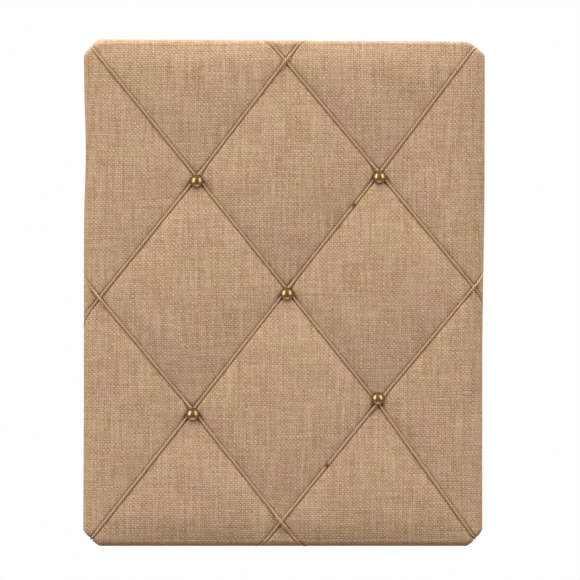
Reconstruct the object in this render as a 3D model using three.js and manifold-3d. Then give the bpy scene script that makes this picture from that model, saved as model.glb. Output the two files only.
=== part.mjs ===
// A French memo board: a stiff panel padded with wadding, wrapped in burlap and laced with jute twine in a
// diamond lattice, with a domed tack at each inner crossing and two D-ring hangers behind.
// Millimetres. X runs to the right and Z up as seen from the front, which faces -Y.
// The origin is the middle of the panel's back face.
import * as THREE from "three";
import { mergeVertices } from "three/addons/utils/BufferGeometryUtils.js";
import Module from "manifold-3d";

const wasm = await Module();
wasm.setup();

// Panel
const panelWidth = 279.4;
const panelHeight = 355.6;
const panelThickness = 9;
const panelCornerRadius = 9;
const cornerFullness = 0.57; // 0.71 is a round corner, 0.5 a straight cut

// Room between pieces
const seatGap = 0.3; // soft sheets that lie on each other or on the panel
const cutGap = 0.15; // round a shank or wire in its hole, and under metal that is fastened down

// Wadding, thickness over the panel
const waddingOnSides = 1.4;
const waddingUnderTack = 1;
const waddingUnderTwine = 4; // halfway between two crossings
const waddingAtEdgeCrossing = 3.6;
const waddingInDiamond = 8;
const waddingInEdgeTriangle = 4.3;
const waddingAtRoll = 3.2; // where the front starts to turn over the edge

// Burlap
const burlapThickness = 1;
const rollWidth = 5.5; // turned-over edge, in from the side
const rollDepth = 7; // and back from the front
const hemWidth = 25;

// Twine
const twineDiameter = 2;
const twineSides = 8;
const twineGap = 0.2; // to what the twine lies on
const climbReach = 12; // a run climbs over another within this distance
const cornerRunIn = 12; // from the lattice's corner to the rolled edge
const tailLength = 16; // end of a run, past the hem
const tailDescent = 7; // part of it that comes down from the hem to the panel

// Crossings under tacks, from the middle of the board; the tack stands below or above its crossing
const tackedCrossings = {
  upper_left: { x: -61.4, z: 82.2, tackSide: -1 },
  upper_right: { x: 68.4, z: 85, tackSide: -1 },
  middle: { x: 2.7, z: 2.1, tackSide: -1 },
  lower_left: { x: -64.3, z: -83.5, tackSide: -1 },
  lower_right: { x: 67.3, z: -78.4, tackSide: 1 },
};
// Free crossings by the edges: along the edge from its middle, and in from the rolled edge
const topCrossing = { x: 1.8, inset: 10.6 };
const leftCrossing = { z: -3.8, inset: 6.6 };
const rightCrossing = { z: 3.8, inset: 1.6 };
const bottomCrossing = { x: -1.4, inset: 12.5 };
const cellsPerSpan = 4; // steps of the padded surface from one crossing to the next

// Tacks
const tackHeadDiameter = 9.6;
const tackHeadHeight = 3.2;
const tackWall = 0.6;
const tackShankDiameter = 1.4;
const tackBite = 6; // into the panel
const tackPoint = 2.5;
const tackSides = 16;

// Staples
const stapleCrown = 10;
const stapleWire = 0.6;
const stapleWireWidth = 0.9;
const stapleBite = 5;
const stapleFromCorner = 28; // first hem staple, from the panel's corner
const staplePitch = 34; // and the second

// Hangers
const hangerSpread = 160; // between the two D-rings
const hangerHeight = 100; // ring hinge above the middle of the panel
const strapWidth = 9;
const strapLayer = 0.8; // the strap is folded in two round the ring
const strapLength = 20;
const ringWire = 2.2;
const ringOuterWidth = 18.4;
const ringStraight = 6; // side of the D before its arc
const ringCorner = 3;
const ringButt = 0.4; // slit between the ends of the bent wire
const knucklePlay = 0.25;
const screwShankDiameter = 2.6;
const screwHeadDiameter = 6;
const screwHeadHeight = 1.8;
const screwBite = 6.5;
const screwSides = 16;

const finishes = {
  panel: { color: 0x9a7650, roughness: 0.85, metalness: 0 },
  wadding: { color: 0xe9e6df, roughness: 0.95, metalness: 0 },
  burlap: { color: 0xb29273, roughness: 0.95, metalness: 0 },
  twine: { color: 0xc9a57e, roughness: 0.9, metalness: 0 },
  brass: { color: 0x8a6a2f, roughness: 0.32, metalness: 1 },
  zinc: { color: 0xb4b7ba, roughness: 0.4, metalness: 1 },
};

const lerp = THREE.MathUtils.lerp;
const plan = (x, z) => new THREE.Vector2(x, z);

function solidOf(geometry) {
  const bare = new THREE.BufferGeometry();
  bare.setAttribute("position", geometry.getAttribute("position"));
  bare.setIndex(geometry.index);
  const merged = mergeVertices(bare, 1e-4);
  const corners = merged.index.array;
  const kept = [];
  for (let i = 0; i < corners.length; i += 3) {
    const face = [corners[i], corners[i + 1], corners[i + 2]];
    if (new Set(face).size === 3) kept.push(...face);
  }
  return new wasm.Manifold(
    new wasm.Mesh({
      numProp: 3,
      vertProperties: merged.attributes.position.array,
      triVerts: new Uint32Array(kept),
    }),
  );
}

function geometryOf(solid) {
  const mesh = solid.getMesh();
  const geometry = new THREE.BufferGeometry();
  geometry.setAttribute("position", new THREE.BufferAttribute(mesh.vertProperties, 3));
  geometry.setIndex(new THREE.BufferAttribute(mesh.triVerts, 1));
  geometry.computeVertexNormals();
  return geometry;
}

const cut = (solid, tools) => tools.reduce((left, tool) => left.subtract(solidOf(tool)), solid);

function piece(name, geometry, finish) {
  const mesh = new THREE.Mesh(geometry, new THREE.MeshStandardMaterial(finishes[finish]));
  mesh.name = name;
  return mesh;
}

// Padded front: five by five knots, and the twine runs over every other one
const net = 4 * cellsPerSpan;
const coverLift = seatGap + burlapThickness;
const coverOut = seatGap + waddingOnSides + coverLift;
const rollInner = coverOut - rollWidth;
const hemBack = seatGap + burlapThickness;
const frontAt = (wadding, lift) => -(panelThickness + seatGap + wadding + lift);

const knot = (x, z, wadding) => ({ x, z, wadding });
const half = (a, b, wadding) => knot((a.x + b.x) / 2, (a.z + b.z) / 2, wadding);

function panelCorner(signX, signZ, offset) {
  const arc = panelCornerRadius - (panelCornerRadius + offset) * cornerFullness;
  return plan(signX * (panelWidth / 2 - arc), signZ * (panelHeight / 2 - arc));
}

function cornerKnot(signX, signZ, inner) {
  const edge = panelCorner(signX, signZ, rollInner);
  const share = cornerRunIn / Math.hypot(inner.x - edge.x, inner.z - edge.y);
  return knot(lerp(edge.x, inner.x, share), lerp(edge.y, inner.z, share), waddingAtEdgeCrossing);
}

function makeKnots() {
  const rollX = panelWidth / 2 + rollInner;
  const rollZ = panelHeight / 2 + rollInner;
  const pinned = Object.values(tackedCrossings).map(({ x, z }) => knot(x, z, waddingUnderTack));
  const [upperLeft, upperRight, middle, lowerLeft, lowerRight] = pinned;
  const edge = (x, z) => knot(x, z, waddingAtEdgeCrossing);
  const top = edge(topCrossing.x, rollZ - topCrossing.inset);
  const left = edge(leftCrossing.inset - rollX, leftCrossing.z);
  const right = edge(rollX - rightCrossing.inset, rightCrossing.z);
  const bottom = edge(bottomCrossing.x, bottomCrossing.inset - rollZ);
  const rows = [
    [cornerKnot(-1, 1, upperLeft), 0, top, 0, cornerKnot(1, 1, upperRight)],
    [0, upperLeft, 0, upperRight, 0],
    [left, 0, middle, 0, right],
    [0, lowerLeft, 0, lowerRight, 0],
    [cornerKnot(-1, -1, lowerLeft), 0, bottom, 0, cornerKnot(1, -1, lowerRight)],
  ];
  for (const line of [0, 4]) {
    for (const i of [1, 3]) {
      rows[line][i] = half(rows[line][i - 1], rows[line][i + 1], waddingInEdgeTriangle);
      rows[i][line] = half(rows[i - 1][line], rows[i + 1][line], waddingInEdgeTriangle);
    }
  }
  for (const [j, i] of [[1, 2], [2, 1], [2, 3], [3, 2]]) {
    const across = half(rows[j][i - 1], rows[j][i + 1], 0);
    rows[j][i] = half(across, half(rows[j - 1][i], rows[j + 1][i], 0), waddingInDiamond);
  }
  return rows;
}
const knots = makeKnots();

// A point of the front by its column and row in the net. Each block of four knots has the twine along one
// diagonal, and the wadding swells from there to the knot on either side.
function frontPoint(column, row) {
  const i = Math.min(Math.floor(column / cellsPerSpan), 3);
  const j = Math.min(Math.floor(row / cellsPerSpan), 3);
  let s = column / cellsPerSpan - i;
  const t = row / cellsPerSpan - j;
  let [start, right, left, end] = [knots[j][i], knots[j][i + 1], knots[j + 1][i], knots[j + 1][i + 1]];
  if ((i + j) % 2) {
    [start, right, left, end] = [right, start, end, left];
    s = 1 - s;
  }
  const side = s > t ? right : left;
  const [low, high] = [Math.min(s, t), Math.max(s, t)];
  const away = high - low;
  const along = (s + t) / 2;
  const rise = waddingUnderTwine - (start.wadding + end.wadding) / 2;
  const valley = lerp(start.wadding, end.wadding, along) + rise * 4 * along * (1 - along);
  return knot(
    start.x * (1 - high) + side.x * away + end.x * low,
    start.z * (1 - high) + side.z * away + end.z * low,
    lerp(valley, side.wadding, 1 - (1 - away) ** 2),
  );
}

// The four sides, clockwise from the top as seen from the front, and the net's rim in that order
const sides = [
  { name: "top", out: plan(0, 1), along: plan(1, 0), rim: (step) => [step, 0] },
  { name: "right", out: plan(1, 0), along: plan(0, -1), rim: (step) => [net, step] },
  { name: "bottom", out: plan(0, -1), along: plan(-1, 0), rim: (step) => [net - step, net] },
  { name: "left", out: plan(-1, 0), along: plan(0, 1), rim: (step) => [0, net - step] },
];
const sideReach = (direction) => (Math.abs(direction.x) > 0.5 ? panelWidth / 2 : panelHeight / 2);

// The panel's outline moved out by an offset, with half as many points as the net's rim
function outline(offset) {
  const radius = Math.max(panelCornerRadius + offset, 0);
  const inset = panelCornerRadius - Math.min(panelCornerRadius + offset, 0);
  const slant = radius * cornerFullness;
  return sides.flatMap((side) => {
    const length = sideReach(side.along) - inset;
    const depth = sideReach(side.out) - inset;
    const at = (along, out) =>
      plan(side.along.x * along + side.out.x * out, side.along.y * along + side.out.y * out);
    const points = [at(-length - slant, depth + slant), at(-length, depth + radius)];
    for (let step = 4; step <= net - 4; step += 2) {
      const { x, z } = frontPoint(...side.rim(step));
      points.push(at(plan(x, z).dot(side.along), depth + radius));
    }
    points.push(at(length, depth + radius));
    return points;
  });
}
const outlineLoop = (offset, y) => outline(offset).map(({ x, y: z }) => [x, y, z]);

// Edge from the front over the roll and down the side, as offset and y, sunk below the cover's face
function edgeProfile(sunk, back) {
  const centre = frontAt(waddingAtRoll, coverLift) + rollDepth;
  const stations = [0, 45, 90].map((turn) => {
    const angle = THREE.MathUtils.degToRad(turn);
    return [
      rollInner + (rollWidth - sunk) * Math.sin(angle),
      centre - (rollDepth - sunk) * Math.cos(angle),
    ];
  });
  return [...stations, [coverOut - sunk, back]];
}

// A closed surface of loops of points, each joined to the next by a band of triangles
class Skin {
  constructor() {
    this.points = [];
    this.faces = [];
  }

  loop(points) {
    return points.map((point) => this.points.push(point) - 1);
  }

  add(faces, flip) {
    for (const [a, b, c] of faces) this.faces.push(flip ? [a, c, b] : [a, b, c]);
  }

  band(from, to) {
    from.forEach((a, i) => {
      const next = (i + 1) % from.length;
      this.add([[a, from[next], to[next]], [a, to[next], to[i]]]);
    });
  }

  bands(loops) {
    loops.slice(1).forEach((loop, i) => this.band(loops[i], loop));
  }

  // From the net's rim to a loop with half as many points
  funnel(rim, loop, flip) {
    loop.forEach((a, i) => {
      const b = loop[(i + 1) % loop.length];
      const [first, second, third] = [0, 1, 2].map((k) => rim[(2 * i + k) % rim.length]);
      this.add([[first, second, a], [second, third, b], [second, b, a]], flip);
    });
  }

  front(lift, flip) {
    const start = this.points.length;
    const at = (column, row) => start + row * (net + 1) + column;
    for (let row = 0; row <= net; row++) {
      for (let column = 0; column <= net; column++) {
        const { x, z, wadding } = frontPoint(column, row);
        this.points.push([x, frontAt(wadding, lift), z]);
      }
    }
    for (let row = 0; row < net; row++) {
      for (let column = 0; column < net; column++) {
        const [a, b] = [at(column, row), at(column + 1, row)];
        const [c, d] = [at(column, row + 1), at(column + 1, row + 1)];
        const block = Math.floor(column / cellsPerSpan) + Math.floor(row / cellsPerSpan);
        this.add(block % 2 ? [[a, c, b], [b, c, d]] : [[a, c, d], [a, d, b]], flip);
      }
    }
    return sides.flatMap((side) => {
      const steps = Array.from({ length: net }, (_, step) => step);
      return steps.map((step) => at(...side.rim(step)));
    });
  }

  solid() {
    const geometry = new THREE.BufferGeometry();
    geometry.setAttribute("position", new THREE.Float32BufferAttribute(this.points.flat(), 3));
    geometry.setIndex(this.faces.flat());
    return solidOf(geometry);
  }
}

function coverSolid() {
  const skin = new Skin();
  const wrap = (sunk, back) =>
    [...edgeProfile(sunk, back), [-hemWidth, back]].map((spot) => skin.loop(outlineLoop(...spot)));
  const outer = wrap(0, hemBack);
  const inner = wrap(burlapThickness, hemBack - burlapThickness);
  skin.funnel(skin.front(coverLift, false), outer[0], false);
  skin.bands([...outer, ...inner.toReversed()]);
  skin.funnel(skin.front(seatGap, true), inner[0], true);
  return skin.solid();
}

function waddingSolid() {
  const skin = new Skin();
  const loops = [
    ...edgeProfile(coverLift, 0),
    [seatGap, 0],
    [seatGap, -(panelThickness + seatGap)],
  ].map((spot) => skin.loop(outlineLoop(...spot)));
  skin.funnel(skin.front(0, false), loops[0], false);
  skin.bands(loops);
  const inmost = loops.at(-1);
  const [centre] = skin.loop([[0, -(panelThickness + seatGap), 0]]);
  skin.add(inmost.map((a, i) => [a, inmost[(i + 1) % inmost.length], centre]));
  return skin.solid();
}

// A path that steps from point to point, so that a tube along it bends at these points and nowhere else
class Route extends THREE.Curve {
  constructor(points) {
    super();
    this.points = points;
  }

  getPoint(share) {
    const at = share * (this.points.length - 1);
    const first = Math.min(Math.floor(at), this.points.length - 2);
    return this.points[first].clone().lerp(this.points[first + 1], at - first);
  }

  getUtoTmapping(share) {
    return share;
  }
}

function tube(points, diameter, count) {
  const section = new THREE.Shape().absarc(0, 0, diameter / 2, 0, 2 * Math.PI);
  return new THREE.ExtrudeGeometry(section, {
    steps: points.length - 1,
    bevelEnabled: false,
    curveSegments: count / 2,
    extrudePath: new Route(points),
  });
}

// Runs of twine by the net's column and row at each end, in the order in which they were laid
const middleStep = net / 2;
const runs = [
  { name: "twine_corner_falling", ends: [[0, 0], [net, net]] },
  { name: "twine_corner_rising", ends: [[0, net], [net, 0]] },
  { name: "twine_upper_right", ends: [[middleStep, 0], [net, middleStep]] },
  { name: "twine_upper_left", ends: [[0, middleStep], [middleStep, 0]] },
  { name: "twine_lower_right", ends: [[middleStep, net], [net, middleStep]] },
  { name: "twine_lower_left", ends: [[0, middleStep], [middleStep, net]] },
];
const lift = twineDiameter / 2 + twineGap;
const climb = (distance) => {
  const share = Math.min(Math.abs(distance) / climbReach, 1);
  return (twineDiameter + twineGap) * (1 - share * share) ** 2;
};

function stationsOf({ ends: [from, to] }) {
  const count = Math.abs(to[0] - from[0]);
  return Array.from({ length: count + 1 }, (_, k) => [
    from[0] + k * Math.sign(to[0] - from[0]),
    from[1] + k * Math.sign(to[1] - from[1]),
  ]);
}

// Knots at which a run lies on one that was laid before it
function climbedKnots(index) {
  const below = runs.slice(0, index).flatMap(stationsOf).map(String);
  return stationsOf(runs[index])
    .filter(([column]) => column % cellsPerSpan === 0)
    .filter((station) => below.includes(String(station)));
}

// Edge profile moved out to the middle of the twine, round a sharp fold in three points; each point has its
// offset, its y and how far along the cover it lies from the first one
function twineProfile(profile, liftAt) {
  let length = 0;
  const points = [];
  for (let k = 1; k < profile.length - 1; k++) {
    const [before, here, after] = [profile[k - 1], profile[k], profile[k + 1]].map(([e, y]) => plan(e, y));
    length += here.distanceTo(before);
    const normals = [here.clone().sub(before), after.clone().sub(here)].map((way) =>
      plan(way.y, -way.x).normalize(),
    );
    const middle = normals[0].clone().add(normals[1]).normalize();
    const mitre = middle.dot(normals[0]);
    const spread = mitre < 0.85 ? [normals[0], middle, normals[1]] : [middle.divideScalar(mitre)];
    for (const normal of spread) {
      const moved = here.clone().addScaledVector(normal, liftAt(length));
      points.push({ offset: moved.x, y: moved.y, length });
    }
  }
  return points;
}

// End of a run, from the rim of the net over the rolled edge, down the side, across the hem and onto the
// panel's back. On the unrolled cover it goes straight on; at a corner it follows the corner's middle.
function tailOf(station, inner, climbs) {
  const end = frontPoint(...station);
  const from = frontPoint(...inner);
  const atCorner = station.every((step) => step % net === 0);
  const side = sides.find(({ out }) =>
    out.x ? station[0] === (out.x > 0 ? net : 0) : station[1] === (out.y > 0 ? 0 : net),
  );
  const out = atCorner ? plan(Math.sign(end.x), Math.sign(end.z)).normalize() : side.out;
  const along = plan(-out.y, out.x);
  const foot = atCorner
    ? panelCorner(Math.sign(end.x), Math.sign(end.z), 0)
    : out.clone().multiplyScalar(sideReach(out));
  const heading = plan(end.x - from.x, end.z - from.z);
  const slope = atCorner ? 0 : heading.dot(along) / heading.dot(out);
  const start = plan(end.x, end.z).sub(foot);
  const sideways = atCorner ? 0 : start.dot(along);
  const stretch = Math.hypot(1, slope);
  const spread = atCorner ? Math.SQRT2 * cornerFullness : 1;
  const hem = atCorner ? Math.SQRT2 * (hemWidth - (1 - cornerFullness) * panelCornerRadius) : hemWidth;
  const profile = [
    [start.dot(out), frontAt(end.wadding, coverLift)],
    ...edgeProfile(0, hemBack).map(([offset, y]) => [offset * spread, y]),
    [-hem, hemBack],
  ];
  const points = twineProfile(profile, (length) => lift + (climbs ? climb(length * stretch) : 0));
  const folded = points.at(-1);
  const behind = (past, y) => {
    return { offset: -hem - past, y, length: folded.length + folded.offset + hem + past };
  };
  points.push(behind(twineDiameter / 2, hemBack + lift));
  points.push(behind(tailDescent, lift), behind(tailLength, lift));
  const place = ({ offset, y, length }) => {
    const at = foot.clone().addScaledVector(out, offset).addScaledVector(along, sideways + slope * length);
    return new THREE.Vector3(at.x, y, at.y);
  };
  const pinned = place(behind((tailDescent + tailLength) / 2, 0));
  const across = along.clone().addScaledVector(out, slope).normalize();
  return { points: points.map(place), staple: { x: pinned.x, z: pinned.z, across } };
}

function layRun(index) {
  const stations = stationsOf(runs[index]);
  const spots = stations.map((station) => {
    const { x, z, wadding } = frontPoint(...station);
    return new THREE.Vector3(x, frontAt(wadding, coverLift) - lift, z);
  });
  const reached = [0];
  spots.slice(1).forEach((spot, k) => reached.push(reached[k] + spot.distanceTo(spots[k])));
  const climbed = climbedKnots(index).map(String);
  const tops = reached.filter((_, k) => climbed.includes(String(stations[k])));
  const shares = [-1, -0.55, -0.25, 0.25, 0.55, 1];
  const steps = tops.flatMap((top) => shares.map((share) => top + share * climbReach));
  const lengths = [...reached, ...steps.filter((step) => step > 0 && step < reached.at(-1))];
  const front = lengths.sort((a, b) => a - b).map((length) => {
    const k = Math.max(reached.findIndex((mark) => mark >= length), 1);
    const share = (length - reached[k - 1]) / (reached[k] - reached[k - 1]);
    const spot = spots[k - 1].clone().lerp(spots[k], share);
    spot.y -= Math.max(0, ...tops.map((top) => climb(length - top)));
    return spot;
  });
  const tails = [[0, 1], [stations.length - 1, stations.length - 2]].map(([end, inner]) =>
    tailOf(stations[end], stations[inner], climbed.includes(String(stations[end]))),
  );
  return {
    points: [...tails[0].points.toReversed(), ...front, ...tails[1].points],
    staples: tails.map((tail) => tail.staple),
  };
}

// Tacks stand beside their crossing, just clear of both runs
function tackPlace(column, row, tackSide) {
  const centre = frontPoint(column, row);
  const around = [[-1, -1], [-1, 1], [1, -1], [1, 1]].map(([a, b]) => frontPoint(column + a, row + b));
  const clearance = twineDiameter / 2 + twineGap + tackShankDiameter / 2;
  const away = around
    .map(({ x, z }) => plan(x - centre.x, z - centre.z).normalize())
    .filter((way) => way.y * tackSide > 0)
    .map((way) => clearance / Math.abs(way.x));
  return {
    x: centre.x,
    z: centre.z + tackSide * Math.max(...away),
    rim: frontAt(waddingUnderTack, coverLift) - 2 * twineDiameter - 3 * twineGap,
  };
}

function tackGeometry(rim) {
  const profile = [];
  const cap = (radius, height, turns) => {
    const ball = (radius * radius + height * height) / (2 * height);
    const opening = Math.asin(radius / ball);
    for (const turn of turns) {
      const angle = opening * turn;
      profile.push(plan(ball * Math.sin(angle), rim - height + ball * (1 - Math.cos(angle))));
    }
  };
  const shank = tackShankDiameter / 2;
  const tip = tackBite - panelThickness;
  cap(tackHeadDiameter / 2, tackHeadHeight, [0, 0.25, 0.5, 0.75, 1]);
  cap(tackHeadDiameter / 2 - tackWall, tackHeadHeight - tackWall, [1, 0.7, 0.4]);
  profile.push(plan(shank, rim - tackHeadHeight + 1.5 * tackWall));
  profile.push(plan(shank, tip - tackPoint), plan(0, tip));
  return new THREE.LatheGeometry(profile, tackSides);
}

function drill(diameter, x, z, from, to, count) {
  const tool = new THREE.CylinderGeometry(diameter / 2, diameter / 2, to - from, count);
  return tool.translate(x, (from + to) / 2, z);
}

function block(x, from, to, width, depth, { place, turn }) {
  const tool = new THREE.BoxGeometry(width, to - from, depth);
  return tool.translate(x, (from + to) / 2, 0).rotateY(turn).translate(place.x, 0, place.z);
}

// Staples: the crown lies across the twine or along the hem, and both legs go into the panel
function stapleGeometry(under) {
  const reach = stapleCrown / 2;
  const inside = reach - stapleWire;
  const shape = new THREE.Shape([
    plan(-reach, -stapleBite),
    plan(-inside, -stapleBite),
    plan(-inside, under),
    plan(inside, under),
    plan(inside, -stapleBite),
    plan(reach, -stapleBite),
    plan(reach, under + stapleWire),
    plan(-reach, under + stapleWire),
  ]);
  const wire = new THREE.ExtrudeGeometry(shape, { depth: stapleWireWidth, bevelEnabled: false });
  return wire.translate(0, 0, -stapleWireWidth / 2);
}

const stapleTurn = (across) => Math.atan2(-across.y, across.x);

function hemStaples() {
  return sides.flatMap((side) => {
    const length = sideReach(side.along);
    const depth = sideReach(side.out) - hemWidth / 2;
    const first = length - stapleFromCorner;
    return [-first, staplePitch - first, 0, first - staplePitch, first].map((along, k) => ({
      name: `hem_staple_${side.name}_${k + 1}`,
      place: {
        x: side.along.x * along + side.out.x * depth,
        z: side.along.y * along + side.out.y * depth,
      },
      turn: stapleTurn(side.along),
      under: hemBack + cutGap,
    }));
  });
}

function stapleMesh({ name, place, turn, under }) {
  const mesh = piece(name, stapleGeometry(under), "zinc");
  mesh.position.set(place.x, 0, place.z);
  mesh.rotation.y = turn;
  return mesh;
}

const stapleSlit = (staple) =>
  block(0, 0, 3 * hemBack, stapleCrown + 2 * cutGap, stapleWireWidth + 2 * cutGap, staple);

function stapleSockets(staple) {
  const leg = (stapleCrown - stapleWire) / 2;
  const [width, depth] = [stapleWire + 2 * cutGap, stapleWireWidth + 2 * cutGap];
  return [-leg, leg].map((x) => block(x, -stapleBite - cutGap, 1, width, depth, staple));
}

// Hanger, built round the hinge of its ring: the strap goes down from there
const knuckleRadius = ringWire / 2 + knucklePlay + strapLayer;
const hingeY = cutGap + knuckleRadius;
const strapBack = cutGap + 2 * strapLayer;
const screwDrop = strapLength - strapWidth / 2;

function strapGeometry() {
  const meeting = Math.asin((2 * strapLayer - knuckleRadius) / knuckleRadius);
  const fold = new THREE.Shape();
  fold.moveTo(-strapLength, cutGap);
  fold.lineTo(0, cutGap);
  fold.absarc(0, hingeY, knuckleRadius, -Math.PI / 2, Math.PI - meeting, false);
  fold.lineTo(-strapLength, strapBack);
  fold.closePath();
  fold.holes.push(new THREE.Path().absarc(0, hingeY, ringWire / 2 + knucklePlay, 0, 2 * Math.PI, true));
  const settings = { bevelEnabled: false, curveSegments: 8 };
  const folded = new THREE.ExtrudeGeometry(fold, { ...settings, depth: strapWidth });
  folded.translate(0, 0, -strapWidth / 2).rotateY(-Math.PI / 2);
  const reach = strapWidth / 2;
  const tongue = new THREE.Shape();
  tongue.moveTo(reach, 2 * knuckleRadius);
  tongue.lineTo(-reach, 2 * knuckleRadius);
  tongue.lineTo(-reach, reach - strapLength);
  tongue.absarc(0, reach - strapLength, reach, Math.PI, 2 * Math.PI, false);
  tongue.closePath();
  const trim = new THREE.ExtrudeGeometry(tongue, { ...settings, depth: 4 * hingeY });
  trim.rotateX(Math.PI / 2).translate(0, 3 * hingeY, 0);
  const hole = drill(screwShankDiameter + 4 * cutGap, 0, -screwDrop, -1, 4 * hingeY, screwSides);
  return geometryOf(cut(solidOf(folded).intersect(solidOf(trim)), [hole]));
}

function ringGeometry() {
  const reach = (ringOuterWidth - ringWire) / 2;
  const arc = (x, z, radius, from, to, count) =>
    Array.from({ length: count + 1 }, (_, k) => {
      const angle = THREE.MathUtils.degToRad(lerp(from, to, k / count));
      return new THREE.Vector3(x + radius * Math.cos(angle), hingeY, z + radius * Math.sin(angle));
    });
  return tube(
    [
      new THREE.Vector3(ringButt / 2, hingeY, 0),
      ...arc(reach - ringCorner, ringCorner, ringCorner, -90, 0, 4),
      ...arc(0, ringStraight, reach, 0, 180, 14),
      ...arc(ringCorner - reach, ringCorner, ringCorner, 180, 270, 4),
      new THREE.Vector3(-ringButt / 2, hingeY, 0),
    ],
    ringWire,
    10,
  );
}

function screwGeometry() {
  const seat = strapBack + cutGap;
  const [head, shank] = [screwHeadDiameter / 2, screwShankDiameter / 2];
  const profile = [
    plan(0, -screwBite),
    plan(shank, shank - screwBite),
    plan(shank, seat),
    plan(head, seat),
    plan(head, seat + 0.45 * screwHeadHeight),
    plan(0.8 * head, seat + 0.85 * screwHeadHeight),
    plan(0.45 * head, seat + screwHeadHeight),
    plan(0, seat + screwHeadHeight),
  ];
  return new THREE.LatheGeometry(profile, screwSides);
}

function hanger(sideName, x) {
  const group = new THREE.Group();
  group.position.set(x, 0, hangerHeight);
  const screw = piece(`hanger_screw_${sideName}`, screwGeometry(), "zinc");
  screw.position.z = -screwDrop;
  group.add(piece(`hanger_strap_${sideName}`, strapGeometry(), "zinc"));
  group.add(piece(`hanger_ring_${sideName}`, ringGeometry(), "zinc"));
  group.add(screw);
  return group;
}

// Everything in place
const laid = runs.map((_, index) => layRun(index));
const tackStations = [[1, 1], [3, 1], [2, 2], [1, 3], [3, 3]];
const tacks = Object.entries(tackedCrossings).map(([spot, { tackSide }], k) => {
  const [i, j] = tackStations[k];
  return { name: `tack_${spot}`, ...tackPlace(i * cellsPerSpan, j * cellsPerSpan, tackSide) };
});
const hemRow = hemStaples();
const twineRow = laid.flatMap(({ staples }, index) =>
  staples.map(({ x, z, across }, end) => ({
    name: `${runs[index].name.replace("twine", "twine_staple")}_${end + 1}`,
    place: { x, z },
    turn: stapleTurn(across),
    under: lift + twineDiameter / 2 + cutGap,
  })),
);
const hangerPlaces = { left: -hangerSpread / 2, right: hangerSpread / 2 };

const tackHole = tackShankDiameter + 2 * seatGap;
const tackSocket = tackShankDiameter + 2 * cutGap;
const throughPad = tacks.map(({ x, z }) =>
  drill(tackHole, x, z, -3 * panelThickness, 1 - panelThickness, 8),
);
const intoPanel = tacks.map(({ x, z }) =>
  drill(tackSocket, x, z, -panelThickness - 1, tackBite + cutGap - panelThickness, 8),
);
const screwHoles = Object.values(hangerPlaces).map((x) =>
  drill(screwShankDiameter + 2 * cutGap, x, hangerHeight - screwDrop, -screwBite - cutGap, 1, screwSides),
);

const sheet = new THREE.ExtrudeGeometry(new THREE.Shape(outline(0)), {
  depth: panelThickness,
  bevelEnabled: false,
});
sheet.rotateX(Math.PI / 2);
const sockets = [...hemRow, ...twineRow].flatMap(stapleSockets);
const panel = cut(solidOf(sheet), [...intoPanel, ...screwHoles, ...sockets]);
const cover = cut(coverSolid(), [...throughPad, ...hemRow.map(stapleSlit)]);

const board = new THREE.Group();
board.name = "french_memo_board";
board.add(piece("panel", geometryOf(panel), "panel"));
board.add(piece("wadding", geometryOf(cut(waddingSolid(), throughPad)), "wadding"));
board.add(piece("burlap_cover", geometryOf(cover), "burlap"));
laid.forEach(({ points }, index) =>
  board.add(piece(runs[index].name, tube(points, twineDiameter, twineSides), "twine")),
);
for (const { name, x, z, rim } of tacks) {
  const tack = piece(name, tackGeometry(rim), "brass");
  tack.position.set(x, 0, z);
  board.add(tack);
}
for (const staple of [...hemRow, ...twineRow]) board.add(stapleMesh(staple));
for (const [sideName, x] of Object.entries(hangerPlaces)) board.add(hanger(sideName, x));

export default board;
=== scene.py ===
import bmesh
import bpy
import numpy as np
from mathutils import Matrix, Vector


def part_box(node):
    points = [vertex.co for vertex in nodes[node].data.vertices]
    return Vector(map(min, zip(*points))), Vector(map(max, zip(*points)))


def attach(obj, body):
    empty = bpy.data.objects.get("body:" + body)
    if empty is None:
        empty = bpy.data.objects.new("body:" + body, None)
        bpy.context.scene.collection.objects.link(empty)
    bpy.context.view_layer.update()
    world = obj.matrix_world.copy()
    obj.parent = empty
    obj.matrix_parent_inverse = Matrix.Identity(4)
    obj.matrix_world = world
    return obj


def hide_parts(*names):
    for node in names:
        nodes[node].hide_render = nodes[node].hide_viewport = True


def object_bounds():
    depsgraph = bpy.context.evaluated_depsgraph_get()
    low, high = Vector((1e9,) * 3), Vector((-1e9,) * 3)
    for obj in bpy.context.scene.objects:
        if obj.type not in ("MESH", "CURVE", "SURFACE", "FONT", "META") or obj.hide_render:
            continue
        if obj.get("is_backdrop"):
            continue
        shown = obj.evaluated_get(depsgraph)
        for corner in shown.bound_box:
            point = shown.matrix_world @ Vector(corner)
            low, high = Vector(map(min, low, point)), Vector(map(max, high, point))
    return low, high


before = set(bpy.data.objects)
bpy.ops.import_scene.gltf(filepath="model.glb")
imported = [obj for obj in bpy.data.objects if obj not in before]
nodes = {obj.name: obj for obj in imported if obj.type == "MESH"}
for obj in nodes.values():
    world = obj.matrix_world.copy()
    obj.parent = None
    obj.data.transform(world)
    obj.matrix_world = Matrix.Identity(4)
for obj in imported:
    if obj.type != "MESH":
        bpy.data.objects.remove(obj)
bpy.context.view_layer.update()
print("frame loaded:", len(nodes), "nodes")

# Lengths are in millimetres until they go into a mesh. x runs right, z up, and the front faces -y.


def boxOf(name):
    # a node's lowest and highest corner in millimetres
    low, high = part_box(name)
    return np.array(low) * 1000, np.array(high) * 1000


def smoothStep(x):
    # eases from 0 at x = 0 to 1 at x = 1: 3x^2 - 2x^3
    x = np.clip(x, 0, 1)
    return x * x * (3 - 2 * x)


def bell(x):
    # exp(-x^2), a soft bump of height 1
    return np.exp(-np.square(x))


def trench(x):
    # exp(-|x|^3), a bump with steeper sides and a flatter middle
    return np.exp(-np.abs(x) ** 3)


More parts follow.
